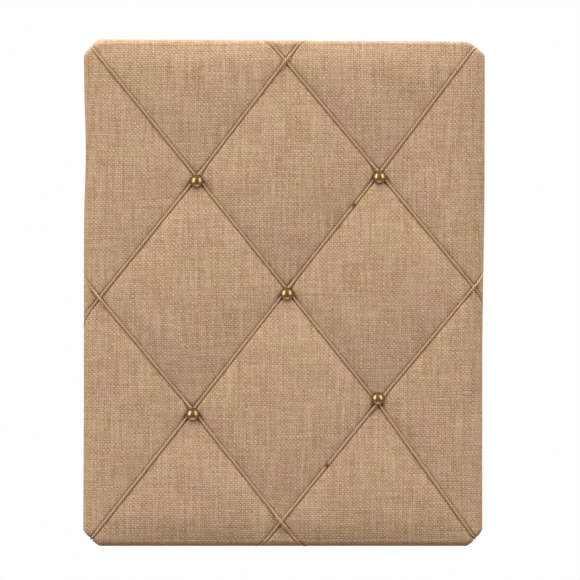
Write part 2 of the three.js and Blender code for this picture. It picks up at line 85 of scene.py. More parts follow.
def unit(v):
    # v / |v|
    return v / np.linalg.norm(v, axis=-1, keepdims=True)


def lengthAlong(line):
    # length from a line's start to each of its points: the running sum of the steps
    return np.concatenate([[0], np.cumsum(np.linalg.norm(np.diff(line, axis=0), axis=1))])


def inSpace(plan, y):
    # (x, z) in plan, with y between them
    return np.stack([plan[..., 0], y, plan[..., 1]], -1)


def makePiece(name, grids, material, body="board", replaced=(), marks=None, sharp=None):
    # grids are (points, uv) pairs, each a rectangle of rows and columns; touching grids are welded
    points = np.concatenate([p.reshape(-1, 3) for p, _ in grids]) / 1000
    uvs = np.concatenate([uv.reshape(-1, 2) for _, uv in grids])
    quads, start = [], 0
    for p, _ in grids:
        index = start + np.arange(p.shape[0] * p.shape[1]).reshape(p.shape[:2])
        corners = [index[:-1, :-1], index[1:, :-1], index[1:, 1:], index[:-1, 1:]]
        quads.append(np.stack(corners, -1).reshape(-1, 4))
        start += index.size
    quads = np.concatenate(quads)
    mesh = bpy.data.meshes.new(name)
    mesh.from_pydata(points.tolist(), [], quads.tolist())
    mesh.uv_layers.new(name="surface").data.foreach_set("uv", uvs[quads].astype(np.float32).ravel())
    for mark, values in (marks or {}).items():
        layer = mesh.attributes.new(mark, "FLOAT", "POINT")
        layer.data.foreach_set("value", values.astype(np.float32).ravel())
    welded = bmesh.new()
    welded.from_mesh(mesh)
    bmesh.ops.remove_doubles(welded, verts=welded.verts, dist=2e-6)
    bmesh.ops.recalc_face_normals(welded, faces=welded.faces)
    welded.to_mesh(mesh)
    welded.free()
    mesh.polygons.foreach_set("use_smooth", np.ones(len(mesh.polygons), bool))
    if sharp:
        mesh.set_sharp_from_angle(angle=np.radians(sharp))
    piece = bpy.data.objects.new(name, mesh)
    bpy.context.scene.collection.objects.link(piece)
    mesh.materials.append(material)
    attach(piece, body)
    if replaced:
        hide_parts(*replaced)
    return piece


sweptSpan = 100.0  # mm along a swept piece in one unit of its U


def sweep(path, normals, section):
    # a closed section (column, 2) carried along a path: path + x * sideways + y * normal. A row drawn
    # together to one point closes each end
    along = unit(np.gradient(path, axis=0))
    sideways = unit(np.cross(along, normals))
    normals = np.cross(sideways, along)
    if section.ndim == 2:
        section = np.broadcast_to(section, (len(path),) + section.shape)
    points = path[:, None] + section[..., :1] * sideways[:, None] + section[..., 1:] * normals[:, None]
    reached = lengthAlong(path)
    ends = [np.broadcast_to(path[k], points[:1].shape) for k in (0, -1)]
    points = np.concatenate([ends[0], points, ends[1]])
    reached = np.concatenate([reached[:1], reached, reached[-1:]])
    turn = np.linspace(0, 1, points.shape[1])
    uv = np.stack(np.broadcast_arrays(reached[:, None] / sweptSpan, turn[None]), -1)
    return points, uv


def turned(profile, centre, sides):
    # a profile of (radius, height along y) spun round the y axis through the centre
    angle = np.linspace(0, 2 * np.pi, sides + 1)
    radius, height = profile[:, :1], profile[:, 1:]
    points = np.stack(np.broadcast_arrays(
        centre[0] + radius * np.cos(angle), height + 0 * angle, centre[1] + radius * np.sin(angle)), -1)
    share = np.linspace(0, 1, len(profile))[:, None]
    return points, np.stack(np.broadcast_arrays(angle[None] / (2 * np.pi), share), -1)


def evened(path, extra, step):
    # the same path at even steps, with what goes along with it
    reached = lengthAlong(path)
    marks = np.linspace(0, reached[-1], int(reached[-1] / step) + 1)
    lay = lambda values: np.stack([np.interp(marks, reached, v) for v in values.T], -1)
    return lay(path), lay(extra), marks


def softened(values, width):
    # running mean weighted by a bell of that many steps, with the ends held
    reach = 3 * width
    weights = bell(np.arange(-reach, reach + 1) / width)
    padded = np.pad(values, ((reach, reach), (0, 0)), mode="edge")
    weights /= weights.sum()
    return np.stack([np.convolve(v, weights, mode="valid") for v in padded.T], -1)


# Materials


def linear(colour):
    # sRGB hex to the linear colour that shaders take
    parts = [int(colour[i:i + 2], 16) / 255 for i in (1, 3, 5)]
    return tuple(c / 12.92 if c <= 0.04045 else ((c + 0.055) / 1.055) ** 2.4 for c in parts) + (1.0,)


def connect(tree, node, wires):
    # a wire is a value for a socket, or a node or socket to link it from
    for key, value in wires.items():
        if isinstance(value, bpy.types.Node):
            value = value.outputs[0]
        if isinstance(value, bpy.types.NodeSocket):
            tree.links.new(value, node.inputs[key])
        else:
            node.inputs[key].default_value = value


def add(tree, kind, wires=None, **settings):
    # one node with its settings and its wires
    made = tree.nodes.new("ShaderNode" + kind)
    for key, value in settings.items():
        setattr(made, key, value)
    connect(tree, made, wires or {})
    return made


def newMaterial(name):
    # a material with its node tree and the shader in it
    material = bpy.data.materials.new(name)
    material.use_nodes = True
    tree = material.node_tree
    return material, tree, tree.nodes["Principled BSDF"]


weave = {
    "threadPitch": 1.45,                  # mm, 17 or 18 threads to the inch
    "uvSpan": 500.0,                      # mm of cloth in one unit of UV
    "skew": 2.4, "skewLength": 60.0,      # range in threads by which the cloth lies askew, over so many mm
    "stray": 1.8, "strayLength": 45.0, "strayWidth": 4.0,  # the same for single threads
    "slubPace": 0.06,                     # a slub for every 17 threads crossed, 24 mm
    "thin": 0.38, "thick": 0.5,           # half of a thread's width, in pitches
    "arch": 0.38, "middle": 0.62,         # how far a thread rises and sags about its middle height
    "fibreSlant": 0.5, "fibresAcross": 9.0, "fibresAlong": 1.7, "fibreDepth": 0.25, "fibreTone": 0.5,
    "patchTone": 0.5, "weftPaintedLight": 0.34, "leanTone": 0.17,
    "streakLength": 35.0, "streakWidth": 1.6, "warpStreaks": 1.8, "weftStreaks": 0.9,
    "tones": (1.84, 3.12),                # sums of the tones that show as tan and as pale
    # painted shade: yarn lower than the second height darkens towards the gap colour, fully at the first
    "shadeHeights": (0.1, 0.65),              # heights that show as a gap and as yarn
    "blotch": 28.0, "bump": 0.7, "bumpDepth": 0.0003,
    "pale": "#cbb29c", "tan": "#a98968", "gap": "#5a3c20", "rosy": "#fff3ea", "sandy": "#fffae9",
}


def burlapMaterial():
    # Burlap: loose plain weave of uneven jute yarn. Dull, with painted shade in the gaps and on low-lying
    # yarn, slubby streaks along both threads and a pale fuzz that catches light at grazing angles.
    material, tree, shader = newMaterial("burlap_plain_weave")
    cloth = weave["uvSpan"]
    uv = add(tree, "UVMap", uv_map="surface")
    threads = cloth / weave["threadPitch"]
    counted = add(tree, "VectorMath", {0: uv, 1: (threads, threads, 1)}, operation="MULTIPLY")
    # the cloth lies askew by about a thread to either side, and each thread strays from its neighbours
    drift = add(tree, "TexNoise", {"Vector": uv, "Scale": cloth / weave["skewLength"], "Detail": 1.0})
    skew, stray = (weave["skew"], weave["skew"], 0), (weave["stray"], weave["stray"], 0)
    askew = {0: drift.outputs["Color"], 1: skew, 2: counted}
    skewed = add(tree, "VectorMath", askew, operation="MULTIPLY_ADD")
    narrow, long = cloth / weave["strayWidth"], cloth / weave["strayLength"]
    strays = []
    for scale in ((narrow, long, 1), (long, narrow, 1)):
        stretched = add(tree, "VectorMath", {0: uv, 1: scale}, operation="MULTIPLY")
        strays.append(add(tree, "TexNoise", {"Vector": stretched, "Scale": 1.0, "Detail": 1.0}))
    strayed = add(tree, "CombineXYZ", {0: strays[0], 1: strays[1]})
    moved = add(tree, "VectorMath", {0: strayed, 1: stray, 2: skewed}, operation="MULTIPLY_ADD")
    cell = add(tree, "VectorMath", {0: moved}, operation="FLOOR")
    inCell = add(tree, "VectorMath", {0: moved, 1: cell}, operation="SUBTRACT")
    centred = add(tree, "VectorMath", {0: inCell, 1: (0.5, 0.5, 0)}, operation="SUBTRACT")
    place = add(tree, "SeparateXYZ", {0: centred})
    count = add(tree, "SeparateXYZ", {0: cell})
    run = add(tree, "SeparateXYZ", {0: moved})
    # one noise for each set of threads: it steps from thread to thread and changes slowly along each in slubs
    tones = []
    for across, along, shift in (("X", "Y", 3.7), ("Y", "X", 91.3)):
        own = add(tree, "Math", {0: count.outputs[across], 1: 7.31, 2: shift}, operation="MULTIPLY_ADD")
        slow = add(tree, "Math", {0: run.outputs[along], 1: weave["slubPace"]}, operation="MULTIPLY")
        spot = add(tree, "CombineXYZ", {0: own, 1: slow, 2: shift})
        tones.append(add(tree, "TexNoise", {"Vector": spot, "Scale": 1.0, "Detail": 2.0, "Roughness": 0.6}))
    # the warp is on top where the sum of both counts is even, the weft where it is odd
    both = add(tree, "Math", {0: count.outputs["X"], 1: count.outputs["Y"]}, operation="ADD")
    weftOnTop = add(tree, "Math", {0: both, 1: 2.0}, operation="FLOORED_MODULO")
    x, y = place.outputs["X"], place.outputs["Y"]
    # the upper thread is an arch over its cell and the lower one sags under it: a round section,
    # sqrt(1 - (offset / width)^2), times middle + arch * cos(pi * reach). Each is as wide as its slubs say
    threadForms = []
    for first, second, order, lift in ((x, y, (0, 1), weave["arch"]), (y, x, (1, 0), -weave["arch"])):
        offset = add(tree, "Mix", {0: weftOnTop, 2: first, 3: second})
        reach = add(tree, "Mix", {0: weftOnTop, 2: second, 3: first})
        tone = add(tree, "Mix", {0: weftOnTop, 2: tones[order[0]], 3: tones[order[1]]})
        width = add(tree, "MapRange", {0: tone, 1: 0.3, 2: 0.7, 3: weave["thin"], 4: weave["thick"]})
        ratio = add(tree, "Math", {0: offset, 1: width}, operation="DIVIDE")
        square = add(tree, "Math", {0: ratio, 1: 2.0}, operation="POWER")
        rest = add(tree, "Math", {0: 1.0, 1: square}, operation="SUBTRACT", use_clamp=True)
        section = add(tree, "Math", {0: rest}, operation="SQRT")
        turn = add(tree, "Math", {0: reach, 1: np.pi}, operation="MULTIPLY")
        wave = add(tree, "Math", {0: turn}, operation="COSINE")
        level = add(tree, "Math", {0: wave, 1: lift, 2: weave["middle"]}, operation="MULTIPLY_ADD")
        height = add(tree, "Math", {0: section, 1: level}, operation="MULTIPLY")
        threadForms.append((height, offset, reach, tone))
    upper, lower = threadForms
    shown = add(tree, "Math", {0: upper[0], 1: lower[0]}, operation="GREATER_THAN")
    height = add(tree, "Math", {0: upper[0], 1: lower[0]}, operation="MAXIMUM")
    offset, reach, tone = (add(tree, "Mix", {0: shown, 2: under, 3: over})
                           for under, over in zip(lower[1:], upper[1:]))
    # fibres, 0.16 mm wide and 0.85 mm long, lie aslant in the yarn by its twist
    twisted = add(tree, "Math", {0: reach, 1: weave["fibreSlant"], 2: offset}, operation="MULTIPLY_ADD")
    fibreX = add(tree, "Math", {0: twisted, 1: weave["fibresAcross"]}, operation="MULTIPLY")
    fibreY = add(tree, "Math", {0: reach, 1: weave["fibresAlong"]}, operation="MULTIPLY")
    ownFibres = add(tree, "VectorMath", {0: cell, 1: (3.1, 5.3, 0)}, operation="DOT_PRODUCT")
    fibreSpot = add(tree, "CombineXYZ", {0: fibreX, 1: fibreY, 2: ownFibres.outputs["Value"]})
    fibres = add(tree, "TexNoise", {"Vector": fibreSpot, "Scale": 1.0, "Detail": 2.0})
    rough = add(tree, "Math", {0: fibres, 1: weave["fibreDepth"], 2: height}, operation="MULTIPLY_ADD")
    # tone: by thread and by patch, with painted light making it paler where the weft is on top, and leaning
    # to one diagonal by the twist
    patches = add(tree, "TexWhiteNoise", {"Vector": cell}, noise_dimensions="2D")
    slant = add(tree, "Math", {0: run.outputs["X"], 1: run.outputs["Y"]}, operation="ADD")
    slantTurn = add(tree, "Math", {0: slant, 1: np.pi}, operation="MULTIPLY")
    lean = add(tree, "Math", {0: slantTurn}, operation="COSINE")
    # and thick and thin stretches show as streaks, more along the warp than along the weft
    narrow, long = cloth / weave["streakWidth"], cloth / weave["streakLength"]
    # the share for weftOnTop is painted light: cells where the weft is on top are made paler
    layers = [(patches, weave["patchTone"]), (weftOnTop, weave["weftPaintedLight"]), (lean, weave["leanTone"]),
              (fibres, weave["fibreTone"])]
    streaks = (((long, narrow, 1), weave["weftStreaks"]), ((narrow, long, 1), weave["warpStreaks"]))
    for scale, share in streaks:
        combed = add(tree, "VectorMath", {0: uv, 1: scale}, operation="MULTIPLY")
        layers.append((add(tree, "TexNoise", {"Vector": combed, "Scale": 1.0, "Detail": 2.0}), share))
    for layer, share in layers:
        tone = add(tree, "Math", {0: layer, 1: share, 2: tone}, operation="MULTIPLY_ADD")
    # colour: tan to pale by tone, tinted in blotches, then painted shade towards the dark gap colour where
    # the yarn lies low
    low, high = weave["tones"]
    yarn = add(tree, "MapRange", {0: tone, 1: low, 2: high, 3: 0.0, 4: 1.0})
    mixed = add(tree, "Mix", {0: yarn, 6: linear(weave["tan"]), 7: linear(weave["pale"])}, data_type="RGBA")
    blotch = add(tree, "TexNoise", {"Vector": uv, "Scale": cloth / weave["blotch"], "Detail": 2.0})
    tint = add(tree, "ValToRGB", {0: blotch})
    stops = zip(tint.color_ramp.elements, (0.35, 0.65), (weave["rosy"], weave["sandy"]))
    for stop, position, shade in stops:
        stop.position, stop.color = position, linear(shade)
    tinted = add(tree, "Mix", {0: 1.0, 6: mixed.outputs[2], 7: tint}, data_type="RGBA", blend_type="MULTIPLY")
    # painted shade: the lower the yarn lies, the nearer its colour comes to the dark gap colour
    low, high = weave["shadeHeights"]
    closed = add(tree, "MapRange", {0: rough, 1: low, 2: high, 3: 0.0, 4: 1.0})
    colour = add(tree, "Mix", {0: closed, 6: linear(weave["gap"]), 7: tinted.outputs[2]}, data_type="RGBA")
    bump = add(tree, "Bump", {"Height": rough, "Strength": weave["bump"], "Distance": weave["bumpDepth"]})
    connect(tree, shader, {"Base Color": colour.outputs[2], "Normal": bump, "Roughness": 0.92,
                           "Specular IOR Level": 0.2, "Sheen Weight": 0.2, "Sheen Roughness": 0.45,
                           "Sheen Tint": linear("#e6cdaa")})
    return material


twist = {
    "diameter": 2.05, "pitch": 6.0, "plies": 3, "pliesDepth": 0.06, "columns": 15, "step": 0.6,
    "uneven": 0.07, "unevenLength": 9.0,     # thick and thin by this share, changing over so many mm
    "joinSwell": 0.25, "joinLength": 1.5,
    "streakLength": 4.0, "streaksAround": 26.0,  # fibre streaks 4 mm long and 0.25 mm wide
    "bump": 0.5, "bumpDepth": 0.00025, "seed": 11,
    "frontStep": 0.8, "frontLimit": -8.0,   # what is further back than this y isn't on the front
    "softNormals": 3, "softPath": 2,        # steps over which the run is evened out
    # groove is painted shade for the furrows between the plies
    "pale": "#d2b08d", "tan": "#c09b78", "groove": "#96724e", "join": "#4a321e",
}


def juteMaterial():
    # Jute twine: three plies twisted together, unpolished. Fibre streaks run along each ply, and the
    # furrows between plies get painted shade.
    material, tree, shader = newMaterial("jute_three_ply_twine")
    uv = add(tree, "SeparateXYZ", {0: add(tree, "UVMap", uv_map="surface")})
    perUnit = sweptSpan / twist["streakLength"]
    along = add(tree, "Math", {0: uv.outputs["X"], 1: perUnit}, operation="MULTIPLY")
    around = add(tree, "Math", {0: uv.outputs["Y"], 1: twist["streaksAround"]}, operation="MULTIPLY")
    spot = add(tree, "CombineXYZ", {0: along, 1: around})
    streaks = add(tree, "TexNoise", {"Vector": spot, "Scale": 1.0, "Detail": 3.0, "Roughness": 0.65})
    # painted shade in the furrows: the groove colour where the plies' section dips
    plyTurn = add(tree, "Math", {0: uv.outputs["Y"], 1: 2 * np.pi * twist["plies"]}, operation="MULTIPLY")
    ply = add(tree, "Math", {0: plyTurn}, operation="COSINE")
    plyShade = add(tree, "MapRange", {0: ply, 1: -1.0, 2: -0.1, 3: 0.0, 4: 1.0})
    shade = add(tree, "MapRange", {0: streaks, 1: 0.3, 2: 0.7, 3: 0.0, 4: 1.0})
    yarn = add(tree, "Mix", {0: shade, 6: linear(twist["tan"]), 7: linear(twist["pale"])}, data_type="RGBA")
    plyShaded = add(tree, "Mix", {0: plyShade, 6: linear(twist["groove"]), 7: yarn.outputs[2]}, data_type="RGBA")
    joint = add(tree, "Attribute", attribute_name="join")
    colour = add(tree, "Mix", {0: joint.outputs["Fac"], 6: plyShaded.outputs[2], 7: linear(twist["join"])},
                 data_type="RGBA")
    bump = add(tree, "Bump", {"Height": streaks, "Strength": twist["bump"], "Distance": twist["bumpDepth"]})
    connect(tree, shader, {"Base Color": colour.outputs[2], "Normal": bump, "Roughness": 0.85,
                           "Specular IOR Level": 0.25, "Sheen Weight": 0.25, "Sheen Roughness": 0.5,
                           "Sheen Tint": linear("#f0dfc4")})
    return material


brassLook = {
    # dark is the colour of the mottled patina and of the painted shade by the rim, which deepens over the
    # shares of V below
    "bright": "#be923d", "dark": "#5e400d", "patina": 1.1,  # mm
    "rimFrom": 0.26, "rimTo": 0.42, "rimShadeDepth": 0.6,         # V runs from the dome's middle down its profile
    "coatRoughness": 0.2, "coatIor": 1.95,
}


def brassMaterial():
    # Antique brass: pressed sheet, darkened, rubbed bright on the dome and lacquered. Soft mirror with a
    # mottled patina, painted shade that darkens it towards the rim, and pale highlights from the lacquer. Its
    # IOR is above a usual lacquer's 1.5, so that the highlights stay pale.
    material, tree, shader = newMaterial("antique_brass_pressed")
    uv = add(tree, "SeparateXYZ", {0: add(tree, "UVMap", uv_map="surface")})
    spot = add(tree, "TexCoord").outputs["Object"]
    patina = add(tree, "TexNoise", {"Vector": spot, "Scale": 1000 / brassLook["patina"], "Detail": 4.0})
    # painted shade towards the rim, by V down the profile, on top of the mottled patina
    rimShadeShares = {1: brassLook["rimFrom"], 2: brassLook["rimTo"], 3: 0.0, 4: brassLook["rimShadeDepth"]}
    rim = add(tree, "MapRange", {0: uv.outputs["Y"], **rimShadeShares})
    dark = add(tree, "Math", {0: patina, 1: 0.35, 2: rim}, operation="MULTIPLY_ADD", use_clamp=True)
    tones = {6: linear(brassLook["bright"]), 7: linear(brassLook["dark"])}
    colour = add(tree, "Mix", {0: dark, **tones}, data_type="RGBA")
    rough = add(tree, "MapRange", {0: patina, 1: 0.3, 2: 0.7, 3: 0.3, 4: 0.38})
    connect(tree, shader, {"Base Color": colour.outputs[2], "Roughness": rough, "Metallic": 1.0,
                           "Coat Weight": 1.0, "Coat Roughness": brassLook["coatRoughness"],
                           "Coat IOR": brassLook["coatIor"]})
    return material


def zincMaterial(name, pale, dark, grain):
    # Zinc-plated steel: bright, faintly mottled by the grain's size in mm, with a fine brushed roughness.
    material, tree, shader = newMaterial(name)
    spot = add(tree, "TexCoord").outputs["Object"]
    mottle = add(tree, "TexNoise", {"Vector": spot, "Scale": 1000 / grain, "Detail": 3.0})
    colour = add(tree, "Mix", {0: mottle, 6: linear(dark), 7: linear(pale)}, data_type="RGBA")
    rough = add(tree, "MapRange", {0: mottle, 1: 0.3, 2: 0.7, 3: 0.28, 4: 0.46})
    bump = add(tree, "Bump", {"Height": mottle, "Strength": 0.15, "Distance": 0.0001})
    connect(tree, shader, {"Base Color": colour.outputs[2], "Roughness": rough, "Normal": bump,
                           "Metallic": 1.0})
    return material


def mdfMaterial():
    # MDF: pressed wood fibre, sanded. Even tan with a fine felt of paler and darker fibres, 0.8 mm, in clouds
    # of 30 mm.
    material, tree, shader = newMaterial("mdf_sanded")
    spot = add(tree, "TexCoord").outputs["Object"]
    felt = add(tree, "TexNoise", {"Vector": spot, "Scale": 1 / 0.0008, "Detail": 4.0, "Roughness": 0.7})
    cloud = add(tree, "TexNoise", {"Vector": spot, "Scale": 1 / 0.03, "Detail": 3.0})
    mixed = add(tree, "Math", {0: cloud, 1: 0.5, 2: felt}, operation="MULTIPLY_ADD")
    share = add(tree, "MapRange", {0: mixed, 1: 0.5, 2: 1.0, 3: 0.0, 4: 1.0})
    colour = add(tree, "Mix", {0: share, 6: linear("#9a764f"), 7: linear("#b8936a")}, data_type="RGBA")
    bump = add(tree, "Bump", {"Height": felt, "Strength": 0.25, "Distance": 0.0001})
    connect(tree, shader, {"Base Color": colour.outputs[2], "Normal": bump, "Roughness": 0.75})
    return material


def waddingMaterial():
    # Polyester wadding: white carded fibre, matt and cloudy at 3 mm.
    material, tree, shader = newMaterial("polyester_wadding")
    spot = add(tree, "TexCoord").outputs["Object"]
    carded = add(tree, "TexNoise", {"Vector": spot, "Scale": 1 / 0.003, "Detail": 5.0})
    colour = add(tree, "Mix", {0: carded, 6: linear("#d9d5cc"), 7: linear("#f4f2ec")}, data_type="RGBA")
    bump = add(tree, "Bump", {"Height": carded, "Strength": 0.5, "Distance": 0.0005})
    connect(tree, shader, {"Base Color": colour.outputs[2], "Normal": bump, "Roughness": 0.95,
                           "Sheen Weight": 0.3})
    return material


burlap, jute, brass = burlapMaterial(), juteMaterial(), brassMaterial()
plate = zincMaterial("zinc_plated_steel", "#c6c8ca", "#9da0a3", 2.5)
wire = zincMaterial("galvanised_flat_wire", "#b9bbbd", "#85888b", 0.8)
print("materials made")

# Board: the lattice's knots and the padded surface over the panel

panelLow, panelHigh = boxOf("panel")
panelHalf = np.array([panelHigh[0], panelHigh[2]])
cornerRadius = 9.0
cornerFullness = 0.57  # the middle of a corner, as a share of its radius; a round one has 0.71
innerHalf = panelHalf - cornerRadius

lattice = {
    "upperLeft": (-61.4, 82.2), "upperRight": (68.4, 85.0), "middle": (2.7, 2.1),
    "lowerLeft": (-64.3, -83.5), "lowerRight": (67.3, -78.4),
    "top": (1.8, 164.7), "left": (-130.6, -3.8), "right": (135.6, 3.8), "bottom": (-1.4, -162.8),
}
tacked = ("upperLeft", "upperRight", "middle", "lowerLeft", "lowerRight")
padding = {
    "faceDepth": 10.6,  # cover's face over the panel's back where there is no wadding
    "underTack": 1.6, "underTwine": 4.0, "atCrossing": 3.6, "atRoll": 3.2,
    "puff": 3.3, "flatten": 1.2, "edgePuff": 1.6,
    "shoulder": 0.75,      # cloth beside the twine stands this far above the cloth under it
    "shoulderFade": 14.0,  # and comes level towards the edge
    "grooveWidth": 1.45, "tackGroove": 0.5, "tackGrooveReach": 9.0,
    "tackPuff": 0.8, "tackPuffReach": 18.0, "lumps": 0.25,
}
edge = {
    "rollStart": -2.5, "rollWidth": 5.5, "rollDepth": 7.0, "faceAtRoll": -13.8, "out": 3.0,
    "hemBack": 1.3, "foldRadius": 1.2, "hem": 25.0, "cornerArc": 5.0,
    "sink": 1.85, "cornerSink": 1.9, "cornerReach": 14.0, "grooveWidth": 1.2, "narrowing": 5.0,
    "grooveEnd": 4.0, "evenEnd": 12.0,  # lengths past the side over which grooves and uneven outline die away
}
outline = {  # how far the cloth stands out from the even outline
    "left": {"base": -0.45, "dent": 1.45, "dentAt": 102, "dentReach": 34,
             "flare": 0.4, "flareFrom": 60, "flareReach": 110},
    "right": {"base": 0.2, "swing": 0.9, "swingAt": 20, "swingReach": 45},
    "top": {"base": -0.95, "tilt": 0.95, "tiltReach": 135},
    "bottom": {"base": -0.1},
}
sides = {
    "top": dict(out=(0, 1), along=(1, 0), tacks=("upperLeft", "upperRight")),
    "right": dict(out=(1, 0), along=(0, -1), tacks=("upperRight", "lowerRight")),
    "bottom": dict(out=(0, -1), along=(-1, 0), tacks=("lowerRight", "lowerLeft")),
    "left": dict(out=(-1, 0), along=(0, 1), tacks=("lowerLeft", "upperLeft")),
}
knots = {name: np.array(spot) for name, spot in lattice.items()}
depthOf = {name: padding["underTack"] if name in tacked else padding["atCrossing"] for name in knots}


def unevenness(name, along):
    # each side's base; on the left less a bell-shaped dent, plus a smooth step; on the right plus a tanh; on
    # top less a straight tilt
    x = along * (sides[name]["along"][0] or sides[name]["along"][1])
    form = outline[name]
    if name == "left":
        dent = form["dent"] * bell((x - form["dentAt"]) / form["dentReach"])
        return form["base"] - dent + form["flare"] * smoothStep((-x - form["flareFrom"]) / form["flareReach"])
    if name == "right":
        return form["base"] + form["swing"] * np.tanh((x - form["swingAt"]) / form["swingReach"])
    if name == "top":
        return form["base"] - form["tilt"] * x / form["tiltReach"]
    return form["base"] + 0 * x


for name, side in sides.items():
    out, along = np.array(side["out"]), np.array(side["along"])
    side.update(out=out, along=along)
    side["length"] = abs(innerHalf @ along)
    side["depth"] = abs(innerHalf @ out)
    # a run from each tack passes the free crossing and leaves over the edge on the other side of it
    crossing = knots[name]
    rim = side["depth"] + cornerRadius + edge["rollStart"]
    exits = []
    for tack in reversed(side["tacks"]):
        heading = crossing - knots[tack]
        share = (rim - crossing @ out) / (heading @ out)
        exits.append(((crossing + share * heading) @ along, (heading @ along) / (heading @ out)))
    side["exits"] = exits
names = list(sides)
for k, name in enumerate(names):
    sides[name]["before"], sides[name]["after"] = names[k - 1], names[(k + 1) % 4]


def rimPoint(name, s, reach):
    # plan of the outline at a reach from the inner rectangle, s along the side from its middle, and how far
    # the uneven outline moves it. Past the side's length s goes round the corner, whose shape is
    # (sin^k, cos^k) of the turn
    side = sides[name]
    power = 2 * np.log(cornerFullness) / np.log(0.5)
    length, sign = side["length"], np.sign(s)
    past = np.clip((np.abs(s) - length) / edge["cornerArc"], 0, 1)
    turn = past * np.pi / 4
    inward = np.minimum(reach, 0)
    sideways = np.where(past > 0, sign * np.sin(turn) ** power, 0)
    outwards = np.where(past > 0, np.cos(turn) ** power, 1)
    ends = np.clip(s, -length, length)
    x = ends * (1 + inward / length) + sideways * np.maximum(reach, 0)
    y = side["depth"] + inward + outwards * np.maximum(reach, 0)
    neighbour = np.where(s > 0, unevenness(side["after"], -sides[side["after"]]["length"]),
                         unevenness(side["before"], sides[side["before"]]["length"]))
    swell = np.stack(np.broadcast_arrays(sideways * neighbour, outwards * unevenness(name, ends)), -1)
    at = np.stack(np.broadcast_arrays(x, y), -1)
    return at, swell


def toPlan(name, at):
    # (along, out) of a side as (x, z): along times its direction plus out times its own
    return at[..., :1] * sides[name]["along"] + at[..., 1:] * sides[name]["out"]


def edgeProfile(rollRows, sideRows, foldRows, hemRows):
    # from the front over a quarter of an ellipse, down the side, round the fold and in along the hem: offset
    # from the panel with y, length along the cloth, and the normal (offset, y)
    face, deep, small = edge["faceAtRoll"], edge["rollDepth"], edge["foldRadius"]
    turn = np.linspace(0, np.pi / 2, rollRows + 1)
    outwards = edge["rollStart"] + edge["rollWidth"] * np.sin(turn)
    roll = np.stack([outwards, face + deep * (1 - np.cos(turn))], -1)
    bend = edge["hemBack"] - small
    flat = np.stack([np.full(sideRows, edge["out"]), np.linspace(face + deep, bend, sideRows + 1)[1:]], -1)
    turn = np.linspace(0, np.pi / 2, foldRows + 1)[1:]
    inside = edge["out"] - small
    fold = np.stack([inside + small * np.cos(turn), bend + small * np.sin(turn)], -1)
    inwards = np.linspace(inside, -edge["hem"], hemRows + 1)[1:]
    hem = np.stack([inwards, np.full(hemRows, edge["hemBack"])], -1)
    line = np.concatenate([roll, flat, fold, hem])
    way = unit(np.gradient(line, axis=0))
    return line, lengthAlong(line), np.stack([way[:, 1], -way[:, 0]], -1)


def unevenProfile(rows):
    # the edge's profile, the length past the side's end, and the share of the uneven outline, which grows
    # over the roll by a smooth step and goes by another on the hem
    line, length, normal = edgeProfile(*rows)
    pastSide = length - length[rows[0] + rows[1]]
    grown = smoothStep(length / length[rows[0]]) * (1 - smoothStep(pastSide / edge["evenEnd"]))
    return line, length, normal, pastSide, grown


def span(a, b, heightA, heightB, middle, share):
    # straight line in plan, and a parabola in height through both ends and the middle
    share = share[:, None]
    rise = middle - (heightA + heightB) / 2
    height = heightA + (heightB - heightA) * share + rise * 4 * share * (1 - share)
    return np.concatenate([a + (b - a) * share, height], -1)


def filled(bottom, top, left, right, p, q):
    # Coons patch: both ruled surfaces between opposite edges, less the corners' bilinear surface
    p, q = p[:, None, None], q[None, :, None]
    ruled = (1 - q) * bottom[:, None] + q * top[:, None] + (1 - p) * left[None] + p * right[None]
    corners = ((1 - p) * (1 - q) * bottom[0] + p * (1 - q) * bottom[-1]
               + (1 - p) * q * top[0] + p * q * top[-1])
    return ruled - corners


def distanceToRun(plan, line):
    # distance in plan to a line of straight stretches
    a, b = line[:-1], line[1:]
    way = b - a
    share = np.einsum("...kc,kc->...k", plan[..., None, :] - a, way) / np.square(way).sum(-1)
    near = a + np.clip(share, 0, 1)[..., None] * way
    return np.linalg.norm(plan[..., None, :] - near, axis=-1).min(-1)


cornerRun = {"corner_falling": ("upperLeft", "middle", "lowerRight"),
             "corner_rising": ("lowerLeft", "middle", "upperRight")}
edgeRun = {"upper_right": ("top", "upperRight", "right"), "upper_left": ("left", "upperLeft", "top"),
           "lower_right": ("bottom", "lowerRight", "right"), "lower_left": ("left", "lowerLeft", "bottom")}


def cornerMiddle(spot, reach):
    # middle of the outline's corner nearest to a spot: the inner corner plus the fullness times the reach
    return np.sign(spot) * (innerHalf + cornerFullness * reach)


rollReach = cornerRadius + edge["rollStart"]
overshoot = 0.8  # a short run's line goes on past its crossings by this share of a stretch
runLines = {}
for name, spots in cornerRun.items():
    line = [knots[s] for s in spots]
    ends = [cornerMiddle(line[0], rollReach), cornerMiddle(line[-1], rollReach)]
    runLines[name] = np.array([ends[0], *line, ends[1]])
for name, spots in edgeRun.items():
    line = np.array([knots[s] for s in spots])
    ends = line[[0, -1]] + overshoot * (line[[0, -1]] - line[1])
    runLines[name] = np.array([ends[0], *line, ends[1]])


def rimPatch(name, s):
    # plan and height of the line where the front turns over an edge
    at, _ = rimPoint(name, s, rollReach)
    return np.concatenate([toPlan(name, at), np.full((len(s), 1), padding["atRoll"])], -1)


def sinkAt(plan):
    # how far the twine is let into the cloth at the edge: one depth for the sides, which goes over into the
    # corners' own by a bell
    corner = np.linalg.norm(np.abs(plan) - innerHalf - cornerFullness * rollReach, axis=-1)
    return edge["sink"] + (edge["cornerSink"] - edge["sink"]) * bell(corner / edge["cornerReach"])


def fromRim(plan):
    # distance in from the line where the front turns over the edge
    return np.minimum(innerHalf[0] + rollReach - np.abs(plan[..., 0]),
                      innerHalf[1] + rollReach - np.abs(plan[..., 1]))


